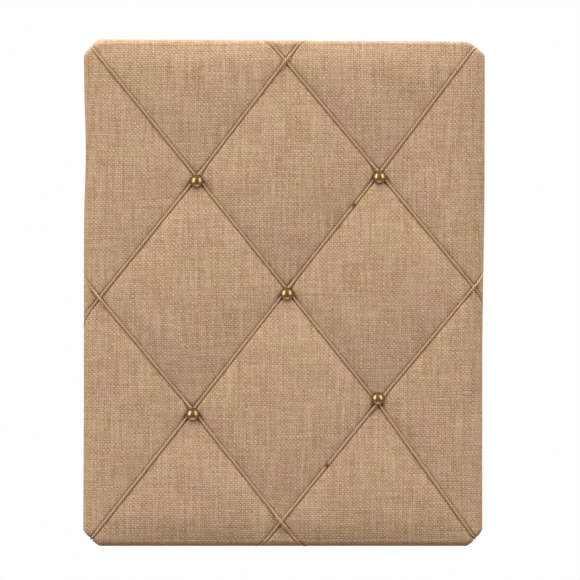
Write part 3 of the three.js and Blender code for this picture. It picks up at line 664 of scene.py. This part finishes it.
def frontSurface(patch, sunk=0.0):
    # height of the cover over the padding: what the patch says, plus shoulders beside the twine and round
    # the tacks, less a groove with steep sides under each run, plus slow lumps of sines that are out of step
    plan, height = patch[..., :2], patch[..., 2]
    toTack = np.min([np.linalg.norm(plan - knots[t], axis=-1) for t in tacked], axis=0)
    wide = padding["grooveWidth"] + padding["tackGroove"] * bell(toTack / padding["tackGrooveReach"])
    clear = np.ones(height.shape)
    for line in runLines.values():
        clear = clear * (1 - trench(distanceToRun(plan, line) / wide))
    groove = 1 - clear
    fade = smoothStep(fromRim(plan) / padding["shoulderFade"])
    puff = padding["tackPuff"] * bell(toTack / padding["tackPuffReach"])
    x, z = plan[..., 0], plan[..., 1]
    lumps = (np.sin(x / 7.3 + 1.9 * np.sin(z / 23)) * np.sin(z / 8.9 + 1.3 * np.sin(x / 19))
             + 0.8 * np.sin((x + z) / 13.1 + 0.6) * np.sin((x - 1.3 * z) / 17.7))
    height = height + padding["shoulder"] * fade + puff + padding["lumps"] * lumps * fade * (1 - groove)
    height = height - (padding["shoulder"] * fade + sinkAt(plan) * (1 - fade) + puff) * groove
    return inSpace(plan, -(padding["faceDepth"] + height) + sunk)


def closeToBoth(count, pull):
    # 0 to 1 in steps that are finer at both ends: half of 1 + tanh(pull * t) / tanh(pull), t from -1 to 1
    t = np.linspace(-1, 1, count + 1)
    return 0.5 + 0.5 * np.tanh(pull * t) / np.tanh(pull)


def pillow(p, q):
    # (1 - |2p - 1|^3)(1 - |2q - 1|^3) to the power 0.75: steep along all four sides and flat in the middle
    steep = lambda share: np.clip(1 - np.abs(2 * share - 1) ** 3, 0, 1)
    return (steep(p)[:, None] * steep(q)[None]) ** 0.75


diamonds = [("top", "upperLeft", "middle", "upperRight"), ("upperLeft", "left", "lowerLeft", "middle"),
            ("upperRight", "middle", "lowerRight", "right"), ("middle", "lowerLeft", "bottom", "lowerRight")]


def frontPatches(cells, gapCells, pull):
    # four diamonds, then two larger patches and a small one by each side; also the points of each side's rim,
    # from corner to corner
    both = closeToBoth(cells, pull)
    middle = padding["underTwine"]

    def twineSpan(a, b):
        # the cloth's line under the twine between two knots
        return span(knots[a], knots[b], depthOf[a], depthOf[b], middle, both)

    patches, rims = [], {}
    for a, b, c, d in diamonds:
        patch = filled(twineSpan(a, b), twineSpan(d, c), twineSpan(a, d), twineSpan(b, c), both, both)
        patch[..., 2] += padding["puff"] * pillow(both, both)
        crown = 4 * both * (1 - both)
        patch[..., 2] -= padding["flatten"] * crown[:, None] * crown[None]
        patches.append(patch)
    for name, side in sides.items():
        crossing, low = knots[name], padding["atRoll"]
        (firstExit, _), (lastExit, _) = side["exits"]
        end = side["length"] + edge["cornerArc"]
        stretches = []
        for tack, corner, leaves in ((side["tacks"][0], -end, firstExit), (side["tacks"][1], end, lastExit)):
            s = corner + (leaves - corner) * both
            rim = rimPatch(name, s)
            out = span(knots[tack], rim[0, :2], depthOf[tack], low, middle, both)
            over = span(crossing, rim[-1, :2], depthOf[name], low, (depthOf[name] + low) / 2, both)
            patch = filled(out, over, twineSpan(tack, name), rim, both, both)
            patch[..., 2] += padding["edgePuff"] * pillow(both, both)
            patches.append(patch)
            stretches.append(s)
        s = np.linspace(firstExit, lastExit, gapCells + 1)
        apex = np.append(crossing, depthOf[name])
        patches.append(apex + both[:, None, None] * (rimPatch(name, s) - apex)[None])
        rims[name] = np.concatenate([stretches[0], s[1:-1], stretches[1][::-1]])
    return patches, rims


def clothUv(plan):
    # the flat cloth's plan in units of UV, with the board's middle at one half
    return plan / weave["uvSpan"] + 0.5


coverMesh = {"cells": 48, "gapCells": 12, "pull": 2.0, "rows": (14, 4, 3, 7), "thickness": 1.0}
pleat = {"step": 0.8, "offset": 4.0, "rise": 0.9, "fade": 26.0, "start": 8.0}


def coverGrids():
    # the front's patches, and for each side one grid over the roll, the side, the fold and the hem
    patches, rims = frontPatches(coverMesh["cells"], coverMesh["gapCells"], coverMesh["pull"])
    grids = [(frontSurface(p), clothUv(p[..., :2])) for p in patches]
    line, length, normal, pastSide, grown = unevenProfile(coverMesh["rows"])
    reach = cornerRadius + line[:, :1]
    narrower = smoothStep(length / edge["narrowing"])
    wide = (padding["grooveWidth"] + (edge["grooveWidth"] - padding["grooveWidth"]) * narrower)[:, None]
    onSide = 1 - smoothStep(pastSide / edge["grooveEnd"])
    for name, s in rims.items():
        side = sides[name]
        long = side["length"]
        (firstExit, firstSlope), (lastExit, lastSlope) = side["exits"]
        drift = np.interp(s, [-long, firstExit, lastExit, long], [0, firstSlope, lastSlope, 0])
        spot = s + drift * length[:, None]
        at, swell = rimPoint(name, spot, reach)
        # grooves under the ends of the twine, straight on the unrolled cloth, and along the corners' middles
        clear = np.ones(spot.shape)
        for leaves, slope in side["exits"]:
            off = (at[..., 0] - leaves - slope * length[:, None]) / np.hypot(1, slope)
            clear = clear * (1 - trench(off / wide))
        offCorner = (np.abs(at[..., 0]) - long - at[..., 1] + side["depth"]) / np.sqrt(2)
        sunk = edge["sink"] * (1 - clear) + edge["cornerSink"] * trench(offCorner / wide)
        sunk = sunk * onSide[:, None]
        inner = np.stack([np.clip(spot, -long, long), 0 * spot + side["depth"]], -1)
        ways = unit(at - inner + np.array([0, 1e-6]))
        ways = np.where(reach[..., None] > 0, ways, np.array([0, 1.0]))
        plan = toPlan(name, at + swell * grown[:, None, None] - ways * (sunk * normal[:, :1])[..., None])
        y = line[:, 1:] - sunk * normal[:, 1:]
        # the hem has one low fold by each corner: a step beside the mitre that dies away along the hem
        if name in ("left", "right"):
            onHem = smoothStep(pastSide / pleat["start"])[:, None]
            beside = -offCorner - pleat["offset"]
            stepped = smoothStep(beside / pleat["rise"]) * (1 - smoothStep(beside / pleat["fade"]))
            y = y + pleat["step"] * onHem * stepped
        points = inSpace(plan, y)
        points[0] = frontSurface(rimPatch(name, s))
        firstAt, _ = rimPoint(name, s, rollReach)
        flat = toPlan(name, np.stack([at[..., 0], firstAt[None, :, 1] + length[:, None]], -1))
        grids.append((points, clothUv(flat)))
    return grids, length[-1]


grids, clothLength = coverGrids()
cover = makePiece("burlap_sheet", grids, burlap, replaced=["burlap_cover"])
wall = cover.modifiers.new("thickness", "SOLIDIFY")
wall.thickness, wall.offset = coverMesh["thickness"] / 1000, -1

waddingMesh = {"cells": 16, "gapCells": 4, "below": 1.3, "rows": (8, 3, 1, 1), "gap": 0.3, "uneven": 0.7}


def waddingGrids():
    # the cover's own form, one gap and one cloth below it, closed along the panel's side and front
    sunk = waddingMesh["below"]
    patches, rims = frontPatches(waddingMesh["cells"], waddingMesh["gapCells"], coverMesh["pull"])
    grids = [(frontSurface(p, sunk), clothUv(p[..., :2])) for p in patches]
    rollRows, sideRows = waddingMesh["rows"][:2]
    kept = rollRows + sideRows + 1
    line, _, normal = edgeProfile(*waddingMesh["rows"])
    line = (line - normal * sunk)[:kept]
    line[-1, 1] = 0.0
    gap, front = waddingMesh["gap"], panelLow[1] - waddingMesh["gap"]
    inner = np.array([[gap, 0.0], [gap, front], [-cornerRadius, front]])
    line = np.concatenate([line, inner])
    grown = waddingMesh["uneven"] * np.append(smoothStep(np.arange(kept) / (rollRows + 1)), [0, 0, 0])
    for name, s in rims.items():
        at, swell = rimPoint(name, s, cornerRadius + line[:, :1])
        plan = toPlan(name, at + swell * grown[:, None, None])
        points = inSpace(plan, np.broadcast_to(line[:, 1:], plan.shape[:2]))
        points[0] = frontSurface(rimPatch(name, s), sunk)
        middle = np.broadcast_to(np.array([0, front, 0.0]), points[:1].shape)
        points = np.concatenate([points, middle])
        grids.append((points, clothUv(points[..., [0, 2]])))
    return grids


wadding = makePiece("wadding_pad", waddingGrids(), waddingMaterial(), replaced=["wadding"])
print("wadding:", len(wadding.data.polygons), "faces")

# Twine: six runs, each from the panel's back over the edge, across the front and round to the back again

tails = {
    "rows": (20, 10, 6, 30), "lift": 1.05, "hardening": 5.0, "hemEnd": 16.0,
    "leaving": 0.8, "level": 1.0, "descent": 7.0, "onPanel": 1.2, "count": 24,
}
climbs = {"height": 1.9, "reach": 12.0}
overs = {  # knots at which a run lies on one that was laid before it
    "corner_falling": (), "corner_rising": ("middle",), "upper_right": ("upperRight",),
    "upper_left": ("upperLeft", "top"), "lower_right": ("lowerRight", "right"),
    "lower_left": ("lowerLeft", "left", "bottom"),
}
joins = {"corner_rising": (51.3, 61.1), "lower_right": (31.3, -123.0)}  # where a darker knot of fibre shows


def tailProfile(sink):
    # the edge's profile with the lift of the twine's middle, less what it sinks where the cloth is soft
    line, length, normal, pastSide, grown = unevenProfile(tails["rows"])
    lift = tails["lift"] - sink * (1 - smoothStep(pastSide / tails["hardening"]))
    return line, length, normal, lift, grown


def ontoPanel(fromY):
    # past the hem: steps inwards, and y eased down to the panel
    past = np.linspace(tails["leaving"], tails["hemEnd"], tails["count"])
    down = smoothStep((past - tails["level"]) / (tails["descent"] - tails["level"]))
    return past, fromY + (tails["onPanel"] - fromY) * down


def layTail(name, leaves, slope):
    # end of a run over a side: the edge's profile moved out by the lift, straight on the unrolled cloth
    line, length, normal, lift, grown = tailProfile(edge["sink"])
    s, long = leaves + slope * length, sides[name]["length"]
    at, swell = rimPoint(name, np.clip(s, -long, long), cornerRadius + line[:, 0])
    at[:, 0] = s
    at = at + swell * grown[:, None]
    at[:, 1] += normal[:, 0] * lift
    y = line[:, 1] + normal[:, 1] * lift
    past, endY = ontoPanel(y[-1])
    endAt = np.stack([at[-1, 0] + slope * past, at[-1, 1] - past], -1)
    plan = toPlan(name, np.concatenate([at, endAt]))
    ways = toPlan(name, np.concatenate([np.stack([0 * normal[:, 0], normal[:, 0]], -1), 0 * endAt]))
    facing = np.concatenate([normal[:, 1], 0 * endY + 1])
    return inSpace(plan, np.concatenate([y, endY])), inSpace(ways, facing)


def layCornerTail(spot):
    # the same along the middle of a corner, where the outlines lie closer together
    line, _, normal, lift, grown = tailProfile(edge["cornerSink"])
    sign = np.sign(spot)
    reach = cornerRadius + line[:, 0]
    d = np.sqrt(2) * np.where(reach > 0, reach * cornerFullness, reach) + normal[:, 0] * lift
    y = line[:, 1] + normal[:, 1] * lift
    past, endY = ontoPanel(y[-1])
    d = np.concatenate([d, np.sqrt(2) * (cornerRadius - edge["hem"]) - past])
    y = np.concatenate([y, endY])
    ends = []
    for name in ("left" if sign[0] < 0 else "right", "top" if sign[1] > 0 else "bottom"):
        ends.append(unevenness(name, np.sign(spot @ sides[name]["along"]) * sides[name]["length"]))
    grown = np.concatenate([grown, 0 * past])
    swell = cornerFullness * np.array(ends)
    plan = sign * (innerHalf + d[:, None] / np.sqrt(2) + swell * grown[:, None])
    outward = np.concatenate([normal[:, 0], 0 * past])[:, None] * sign / np.sqrt(2)
    return inSpace(plan, y), inSpace(outward, np.concatenate([normal[:, 1], 0 * past + 1]))


def frontRun(line, heights, middles):
    # the run's stretches across the front: its height over the cloth under it, sinking towards the edge
    stretches = []
    for a, b, ha, hb, middle in zip(line[:-1], line[1:], heights[:-1], heights[1:], middles):
        count = max(int(np.linalg.norm(b - a) / twist["frontStep"]), 2)
        stretches.append(span(a, b, ha, hb, middle, np.linspace(0, 1, count))[:-1])
    whole = np.concatenate(stretches)
    fade = smoothStep(fromRim(whole[:, :2]) / padding["shoulderFade"])
    height = whole[:, 2] + tails["lift"] - sinkAt(whole[:, :2]) * (1 - fade)
    return inSpace(whole, -(padding["faceDepth"] + height))


def nearestOnFront(path, spot):
    # index of the point with the least distance in plan to a spot, among those on the front
    away = np.linalg.norm(path[:, [0, 2]] - spot, axis=1)
    return np.where(path[:, 1] > twist["frontLimit"], np.inf, away).argmin()


def layRun(name):
    # one end, the front and the other end at even steps, softened; on another run it is raised by
    # height * (1 - share^2)^2
    low, middle = padding["atRoll"], padding["underTwine"]
    if name in cornerRun:
        line = runLines[name]
        heights = [low, *[depthOf[s] for s in cornerRun[name]], low]
        front = frontRun(line, heights, [middle] * 4)
        ends = [layCornerTail(line[0]), layCornerTail(line[-1])]
    else:
        first, tack, last = edgeRun[name]
        rims, ends = [], []
        for crossing in (first, last):
            side = sides[crossing]
            leaves, slope = side["exits"][1 if side["tacks"][0] == tack else 0]
            rims.append(rimPatch(crossing, np.array([leaves]))[0, :2])
            ends.append(layTail(crossing, leaves, slope))
        line = np.array([rims[0], knots[first], knots[tack], knots[last], rims[1]])
        edgeMiddle = (depthOf[first] + low) / 2
        heights = [low, depthOf[first], depthOf[tack], depthOf[last], low]
        front = frontRun(line, heights, [edgeMiddle, middle, middle, edgeMiddle])
    facing = np.broadcast_to([0, -1.0, 0], front.shape)
    path = np.concatenate([ends[0][0][::-1], front[1:], ends[1][0]])
    normals = np.concatenate([ends[0][1][::-1], facing[1:], ends[1][1]])
    path, normals, reached = evened(path, normals, twist["step"])
    normals = unit(softened(normals, twist["softNormals"]))
    path = softened(path, twist["softPath"])
    for spot in overs[name]:
        top = nearestOnFront(path, knots[spot])
        share = np.clip(np.abs(reached - reached[top]) / climbs["reach"], 0, 1)
        path = path + normals * (climbs["height"] * (1 - share ** 2) ** 2)[:, None]
    return path, normals, reached


def twineGrid(name, seed):
    # plies: radius = (1 - d + d cos(plies * angle)), turned once in each pitch; thick and thin by turns
    path, normals, reached = layRun(name)
    rng = np.random.default_rng(seed)
    marks = np.arange(0, reached[-1] + twist["unevenLength"], twist["unevenLength"])
    thick = 1 + twist["uneven"] * np.interp(reached, marks, rng.uniform(-1, 1, len(marks)))
    join = np.zeros(len(reached))
    if name in joins:
        join = bell((reached - reached[nearestOnFront(path, joins[name])]) / twist["joinLength"])
    thick = thick * (1 + twist["joinSwell"] * join)
    column = np.linspace(0, 2 * np.pi, twist["columns"] + 1)
    d = twist["pliesDepth"]
    radius = twist["diameter"] / 2 * (1 - d + d * np.cos(twist["plies"] * column))
    angle = column + 2 * np.pi * reached[:, None] / twist["pitch"]
    section = (thick[:, None] * radius)[..., None] * np.stack([np.cos(angle), np.sin(angle)], -1)
    points, uv = sweep(path, normals, section)
    join = np.concatenate([join[:1], join, join[-1:]])
    return points, uv, np.broadcast_to(join[:, None], points.shape[:2]), reached[-1]


for k, name in enumerate([*cornerRun, *edgeRun]):
    points, uv, join, long = twineGrid(name, twist["seed"] + k)
    makePiece("jute_" + name, [(points, uv)], jute, replaced=["twine_" + name], marks={"join": join})
    print("twine", name, "is", round(long), "mm long")

# Tacks: a domed shell with a rolled rim, on a nail

tackForm = {
    "head": 9.6, "height": 3.2, "skirt": 0.9, "wall": 0.6, "rimRise": 0.12, "sides": 48,
    "nail": 1.4, "nailTop": 0.9, "taper": 2.5, "point": 1.0, "pointShare": 0.6,
}


def tackProfile(top, tip):
    # from the middle of the dome down a ball's cap, round the rim, back inside and down the nail. The ball's
    # radius is (r^2 + h^2) / 2h
    tall = tackForm["height"]

    def cap(radius, height, share):
        ball = (radius * radius + height * height) / (2 * height)
        turn = np.arcsin(radius / ball) * share
        return np.stack([ball * np.sin(turn), top + tall - height + ball * (1 - np.cos(turn))], -1)

    radius, wall = tackForm["head"] / 2, tackForm["wall"]
    dome = cap(radius, tall, np.linspace(0, 0.985, 18))
    turn = np.linspace(0.25, 1.0, 5) * np.pi
    rimY = top + tall + tackForm["skirt"] - tackForm["rimRise"]
    rim = np.stack([radius - wall / 2 + wall / 2 * np.cos(turn), rimY + wall / 2 * np.sin(turn)], -1)
    hollow = cap(radius - wall, tall - wall, np.linspace(0.97, 0.25, 6))
    half = tackForm["nail"] / 2
    nail = np.array([[half, top + tackForm["nailTop"]], [half, tip - tackForm["taper"]],
                     [tackForm["pointShare"] * half, tip - tackForm["point"]], [0, tip]])
    return np.concatenate([dome, rim, hollow, nail])


for spot in ("upper_left", "upper_right", "middle", "lower_left", "lower_right"):
    low, high = boxOf("tack_" + spot)
    centre = (low + high)[[0, 2]] / 2
    grid = turned(tackProfile(low[1], high[1]), centre, tackForm["sides"])
    makePiece("brass_tack_" + spot, [grid], brass, replaced=["tack_" + spot])
print("tacks made")

# Staples: flat wire bent square with a small radius

stapleForm = {"wire": 0.6, "width": 0.9, "bend": 0.9, "point": 1.2, "pointShare": 0.25, "columns": 12}


def roundedBox(width, height, columns):
    # section |x/w|^4 + |y/h|^4 = 1
    angle = np.linspace(0, 2 * np.pi, columns + 1)
    squeeze = lambda v: np.sign(v) * np.sqrt(np.abs(v))
    return np.stack([width / 2 * squeeze(np.cos(angle)), height / 2 * squeeze(np.sin(angle))], -1)


def stapleGrid(name):
    # the wire's middle goes up one leg, round a bend, along the crown and down the other leg
    mesh = nodes[name].data
    spots = np.empty(len(mesh.vertices) * 3)
    mesh.vertices.foreach_get("co", spots)
    spots = spots.reshape(-1, 3) * 1000
    plan = spots[:, [0, 2]]
    centre = (plan.max(0) + plan.min(0)) / 2
    crown = np.linalg.svd(plan - plan.mean(0), full_matrices=False)[2][0]
    half = np.ptp(plan @ crown) / 2 - stapleForm["wire"] / 2
    top, tip = spots[:, 1].max() - stapleForm["wire"] / 2, spots[:, 1].min()
    bend = stapleForm["bend"]
    turn = np.linspace(0, np.pi / 2, 6)
    left = np.stack([-half + bend * (1 - np.cos(turn)), top - bend * (1 - np.sin(turn))], -1)
    leg = np.array([[-half, tip], [-half, tip + stapleForm["point"]], [-half, 0]])
    straight = [[-half / 3, top], [half / 3, top]]
    line = np.concatenate([leg, left, straight, left[::-1] * [-1, 1], leg[::-1] * [-1, 1]])
    way = unit(np.gradient(line, axis=0))
    outwards = np.stack([-way[:, 1], way[:, 0]], -1)
    path = inSpace(centre + line[:, :1] * crown, line[:, 1])
    normals = inSpace(outwards[:, :1] * crown, outwards[:, 1])
    section = roundedBox(stapleForm["width"], stapleForm["wire"], stapleForm["columns"])
    taper = np.ones(len(line))
    taper[[0, -1]] = stapleForm["pointShare"]
    return sweep(path, normals, section[None] * taper[:, None, None])


staples = sorted(n for n in nodes if "staple" in n)
for name in staples:
    makePiece("wire_" + name, [stapleGrid(name)], wire, replaced=[name], sharp=50)
print("staples made:", len(staples))

# Hangers: strap folded round a D-ring, and a pan-head screw with a cross recess

ringForm = {"wire": 2.2, "half": 8.1, "straight": 6.0, "corner": 3.0, "butt": 0.2, "step": 0.6, "columns": 16}
strapForm = {
    "width": 9.0, "layer": 0.8, "length": 20.0, "knuckle": 1.75, "wrapFrom": -0.3, "wrapTurn": 185,
    "closing": ((-2.3, 0.55), (-3.0, 0.12)),  # z from the hinge, and height over the upper layer
    "closed": -3.8, "step": 0.25, "columns": 20,
}
screwForm = {
    "head": 6.0, "height": 1.8, "wall": 0.35, "bevel": 0.2, "under": 0.97, "domeReach": 1.06, "sides": 72,
    "shank": 2.6, "point": 2.0,
    "recessArm": 1.75, "recessHalf": 0.4, "recessDepth": 0.9, "armSlope": 0.25, "wallSlope": 0.2,
}


def arc(x, z, radius, start, end, count):
    # points at even angles, in degrees, on a circle
    angle = np.radians(np.linspace(start, end, count))
    return np.stack([x + radius * np.cos(angle), z + radius * np.sin(angle)], -1)


def ringGrid(hingeX, hingeY, hingeZ):
    # wire bent to a D: straight through the hinge, two small bends, two sides and half a circle
    half, corner, butt = ringForm["half"], ringForm["corner"], ringForm["butt"]
    line = np.concatenate([
        [[butt, 0]], arc(half - corner, corner, corner, -90, 0, 9),
        arc(0, ringForm["straight"], half, 0, 180, 41),
        arc(corner - half, corner, corner, 180, 270, 9), [[-butt, 0]]])
    path = inSpace(line + [hingeX, hingeZ], np.full(len(line), hingeY))
    path, _, _ = evened(path, path, ringForm["step"])
    angle = np.linspace(0, 2 * np.pi, ringForm["columns"] + 1)
    section = ringForm["wire"] / 2 * np.stack([np.cos(angle), np.sin(angle)], -1)
    return sweep(path, np.broadcast_to([0, 1.0, 0], path.shape), section)


def strapGrid(hingeX, hingeY, hingeZ):
    # one strip with round ends, carried up the panel, round the ring's hinge and down again on itself. Near
    # an end its half width is sqrt(1 - (1 - t)^2) of the whole
    layer, long, radius = strapForm["layer"], strapForm["length"], strapForm["knuckle"]
    lower = hingeY - radius
    upper = lower + layer
    line = np.concatenate([
        np.stack([np.linspace(-long, strapForm["wrapFrom"], 40), np.full(40, lower)], -1),
        arc(0, hingeY, radius, -90, strapForm["wrapTurn"], 40),
        np.array(strapForm["closing"]) + [0, upper],
        np.stack([np.linspace(strapForm["closed"], -long, 40), np.full(40, upper)], -1)])
    path = np.stack([np.full(len(line), hingeX), line[:, 1], hingeZ + line[:, 0]], -1)
    path, _, reached = evened(path, path, strapForm["step"])
    path = softened(path, 2)
    ends = np.minimum(reached, reached[-1] - reached)
    half = strapForm["width"] / 2
    width = half * np.sqrt(np.clip(1 - np.square(1 - np.clip(ends / half, 0, 1)), 0.0004, 1))
    section = roundedBox(2.0, layer, strapForm["columns"])
    section = section[None] * np.stack([width, np.ones(len(width))], -1)[:, None]
    return sweep(path, np.broadcast_to([1.0, 0, 0], path.shape), section[..., ::-1])


def screwGrid(low, high):
    # head: a low dome, sqrt(1 - r^2), over a short wall; where |x| or |z| is within an arm of the recess
    # it drops
    centre = (low + high)[[0, 2]] / 2
    seat, wall = high[1] - screwForm["height"], screwForm["wall"]
    half = screwForm["head"] / 2
    outer = half * np.array([0.9, 0.965, 1, 1, screwForm["under"]])
    radius = np.concatenate([np.linspace(0, half * 0.8, 26), outer])
    rise = np.sqrt(np.clip(1 - np.square(radius / (screwForm["domeReach"] * half)), 0, 1))
    height = seat + wall + (screwForm["height"] - wall) * rise
    height[-2:] = seat + screwForm["bevel"], seat
    angle = np.linspace(0, 2 * np.pi, screwForm["sides"] + 1)
    x, z = radius[:, None] * np.cos(angle), radius[:, None] * np.sin(angle)
    beyondArm = np.maximum(np.abs(x), np.abs(z)) - screwForm["recessArm"]
    besideArm = np.minimum(np.abs(x), np.abs(z)) - screwForm["recessHalf"]
    inside = smoothStep(-beyondArm / screwForm["armSlope"]) * smoothStep(-besideArm / screwForm["wallSlope"])
    y = height[:, None] - screwForm["recessDepth"] * inside
    head = np.stack([centre[0] + x, y, centre[1] + z], -1)
    share = np.linspace(0, 0.5, len(radius))[:, None]
    headUv = np.stack(np.broadcast_arrays(angle[None] / 7, share), -1)
    shank, tip = screwForm["shank"] / 2, low[1]
    profile = np.array([[screwForm["under"] * half, seat], [shank, seat],
                        [shank, tip + screwForm["point"]], [0, tip]])
    return [(head, headUv), turned(profile, centre, screwForm["sides"])]


for hand in ("left", "right"):
    low, high = boxOf("hanger_ring_" + hand)
    hinge = ((low[0] + high[0]) / 2, (low[1] + high[1]) / 2, low[2] + ringForm["wire"] / 2)
    makePiece("steel_ring_" + hand, [ringGrid(*hinge)], plate, body="ring_" + hand,
              replaced=["hanger_ring_" + hand], sharp=60)
    makePiece("steel_strap_" + hand, [strapGrid(*hinge)], plate,
              replaced=["hanger_strap_" + hand], sharp=50)
    makePiece("steel_screw_" + hand, screwGrid(*boxOf("hanger_screw_" + hand)), plate,
              replaced=["hanger_screw_" + hand], sharp=40)
panelNode = nodes["panel"]
panelNode.data.materials.clear()
panelNode.data.materials.append(mdfMaterial())
print("hangers made, panel finished")

# Studio: pale floor, a tall soft box on each side with the left one stronger, one behind, camera straight on

studio = {
    "floor": -1.3, "floorReach": 0.8, "floorTones": ("#b8b6b3", "#c0bebb"), "floorBounce": "#8a8885",
    "ambient": 0.08, "dome": 3.5, "front": 0.18,
    "distance": 2.007, "lens": 174.0, "sensor": 36.0, "aim": (0.00485, 0.00186),
}

floorMesh = bpy.data.meshes.new("floor")
r, h = studio["floorReach"], studio["floor"]
floorMesh.from_pydata([(-r, -r, h), (r, -r, h), (r, r, h), (-r, r, h)], [], [(0, 1, 2, 3)])
floor = bpy.data.objects.new("floor", floorMesh)
bpy.context.scene.collection.objects.link(floor)
floor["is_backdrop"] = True
material, tree, shader = newMaterial("pale_studio_floor")
spot = add(tree, "TexCoord").outputs["Object"]
grain = add(tree, "TexNoise", {"Vector": spot, "Scale": 6.0, "Detail": 3.0})  # clouds of 170 mm
darker, paler = (linear(tone) for tone in studio["floorTones"])
pale = add(tree, "Mix", {0: grain, 6: darker, 7: paler}, data_type="RGBA")
# the floor looks pale but throws little light back up
rays = add(tree, "LightPath").outputs
seen = add(tree, "Math", {0: rays["Is Camera Ray"], 1: rays["Is Glossy Ray"]}, operation="ADD")
seen = add(tree, "Math", {0: seen, 1: rays["Is Transmission Ray"]}, operation="ADD", use_clamp=True)
lit = add(tree, "Mix", {0: seen, 6: linear(studio["floorBounce"]), 7: pale.outputs[2]}, data_type="RGBA")
connect(tree, shader, {"Base Color": lit.outputs[2], "Roughness": 0.9})
floorMesh.materials.append(material)

lamps = {
    "leftBox": dict(at=(-1.45, -1.05, 0.65), size=(1.0, 2.0), power=22.3),
    "rightBox": dict(at=(1.45, -1.05, 0.65), size=(1.0, 2.0), power=16.1),
    "behind": dict(at=(-0.5, 1.7, 0.3), size=(1.6, 1.2), power=13.5),
}
for name, lamp in lamps.items():
    light = bpy.data.lights.new(name, "AREA")
    light.shape, light.size, light.size_y, light.energy = "RECTANGLE", *lamp["size"], lamp["power"]
    holder = bpy.data.objects.new(name, light)
    bpy.context.scene.collection.objects.link(holder)
    holder.location = lamp["at"]
    aim = -holder.location.normalized()
    holder.rotation_mode = "QUATERNION"
    holder.rotation_quaternion = aim.to_track_quat("-Z", "Y")

world = bpy.data.worlds.new("studio")
bpy.context.scene.world = world
world.use_nodes = True
tree = world.node_tree
rays = add(tree, "LightPath").outputs
way = add(tree, "SeparateXYZ", {0: add(tree, "TexCoord").outputs["Generated"]})
# a tent of light that grows with the square of the height over the horizon
up = add(tree, "Math", {0: way.outputs["Z"], 1: 0.0}, operation="MAXIMUM")
squared = add(tree, "Math", {0: up, 1: 2.0}, operation="POWER")
tent = add(tree, "Math", {0: squared, 1: studio["dome"], 2: studio["ambient"]}, operation="MULTIPLY_ADD")
# metal sees white behind the board and a dimmer room in front of it; the camera sees white all round
room = add(tree, "MapRange", {0: way.outputs["Y"], 1: -0.2, 2: 0.1, 3: studio["front"], 4: 1.0})
mirrored = add(tree, "Math", {0: rays["Is Glossy Ray"], 1: rays["Is Transmission Ray"]}, operation="MAXIMUM")
reflected = add(tree, "Mix", {0: mirrored, 2: tent, 3: room})
level = add(tree, "Mix", {0: rays["Is Camera Ray"], 2: reflected, 3: 1.0})
connect(tree, tree.nodes["Background"], {"Color": linear("#ffffff"), "Strength": level})

camera = bpy.data.objects.new("camera", bpy.data.cameras.new("camera"))
bpy.context.scene.collection.objects.link(camera)
camera.data.lens, camera.data.sensor_width = studio["lens"], studio["sensor"]
camera.location = (studio["aim"][0], -studio["distance"], studio["aim"][1])
camera.rotation_euler = (np.pi / 2, 0, 0)
bpy.context.scene.camera = camera
bpy.context.scene.view_settings.view_transform = "Standard"

low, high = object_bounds()
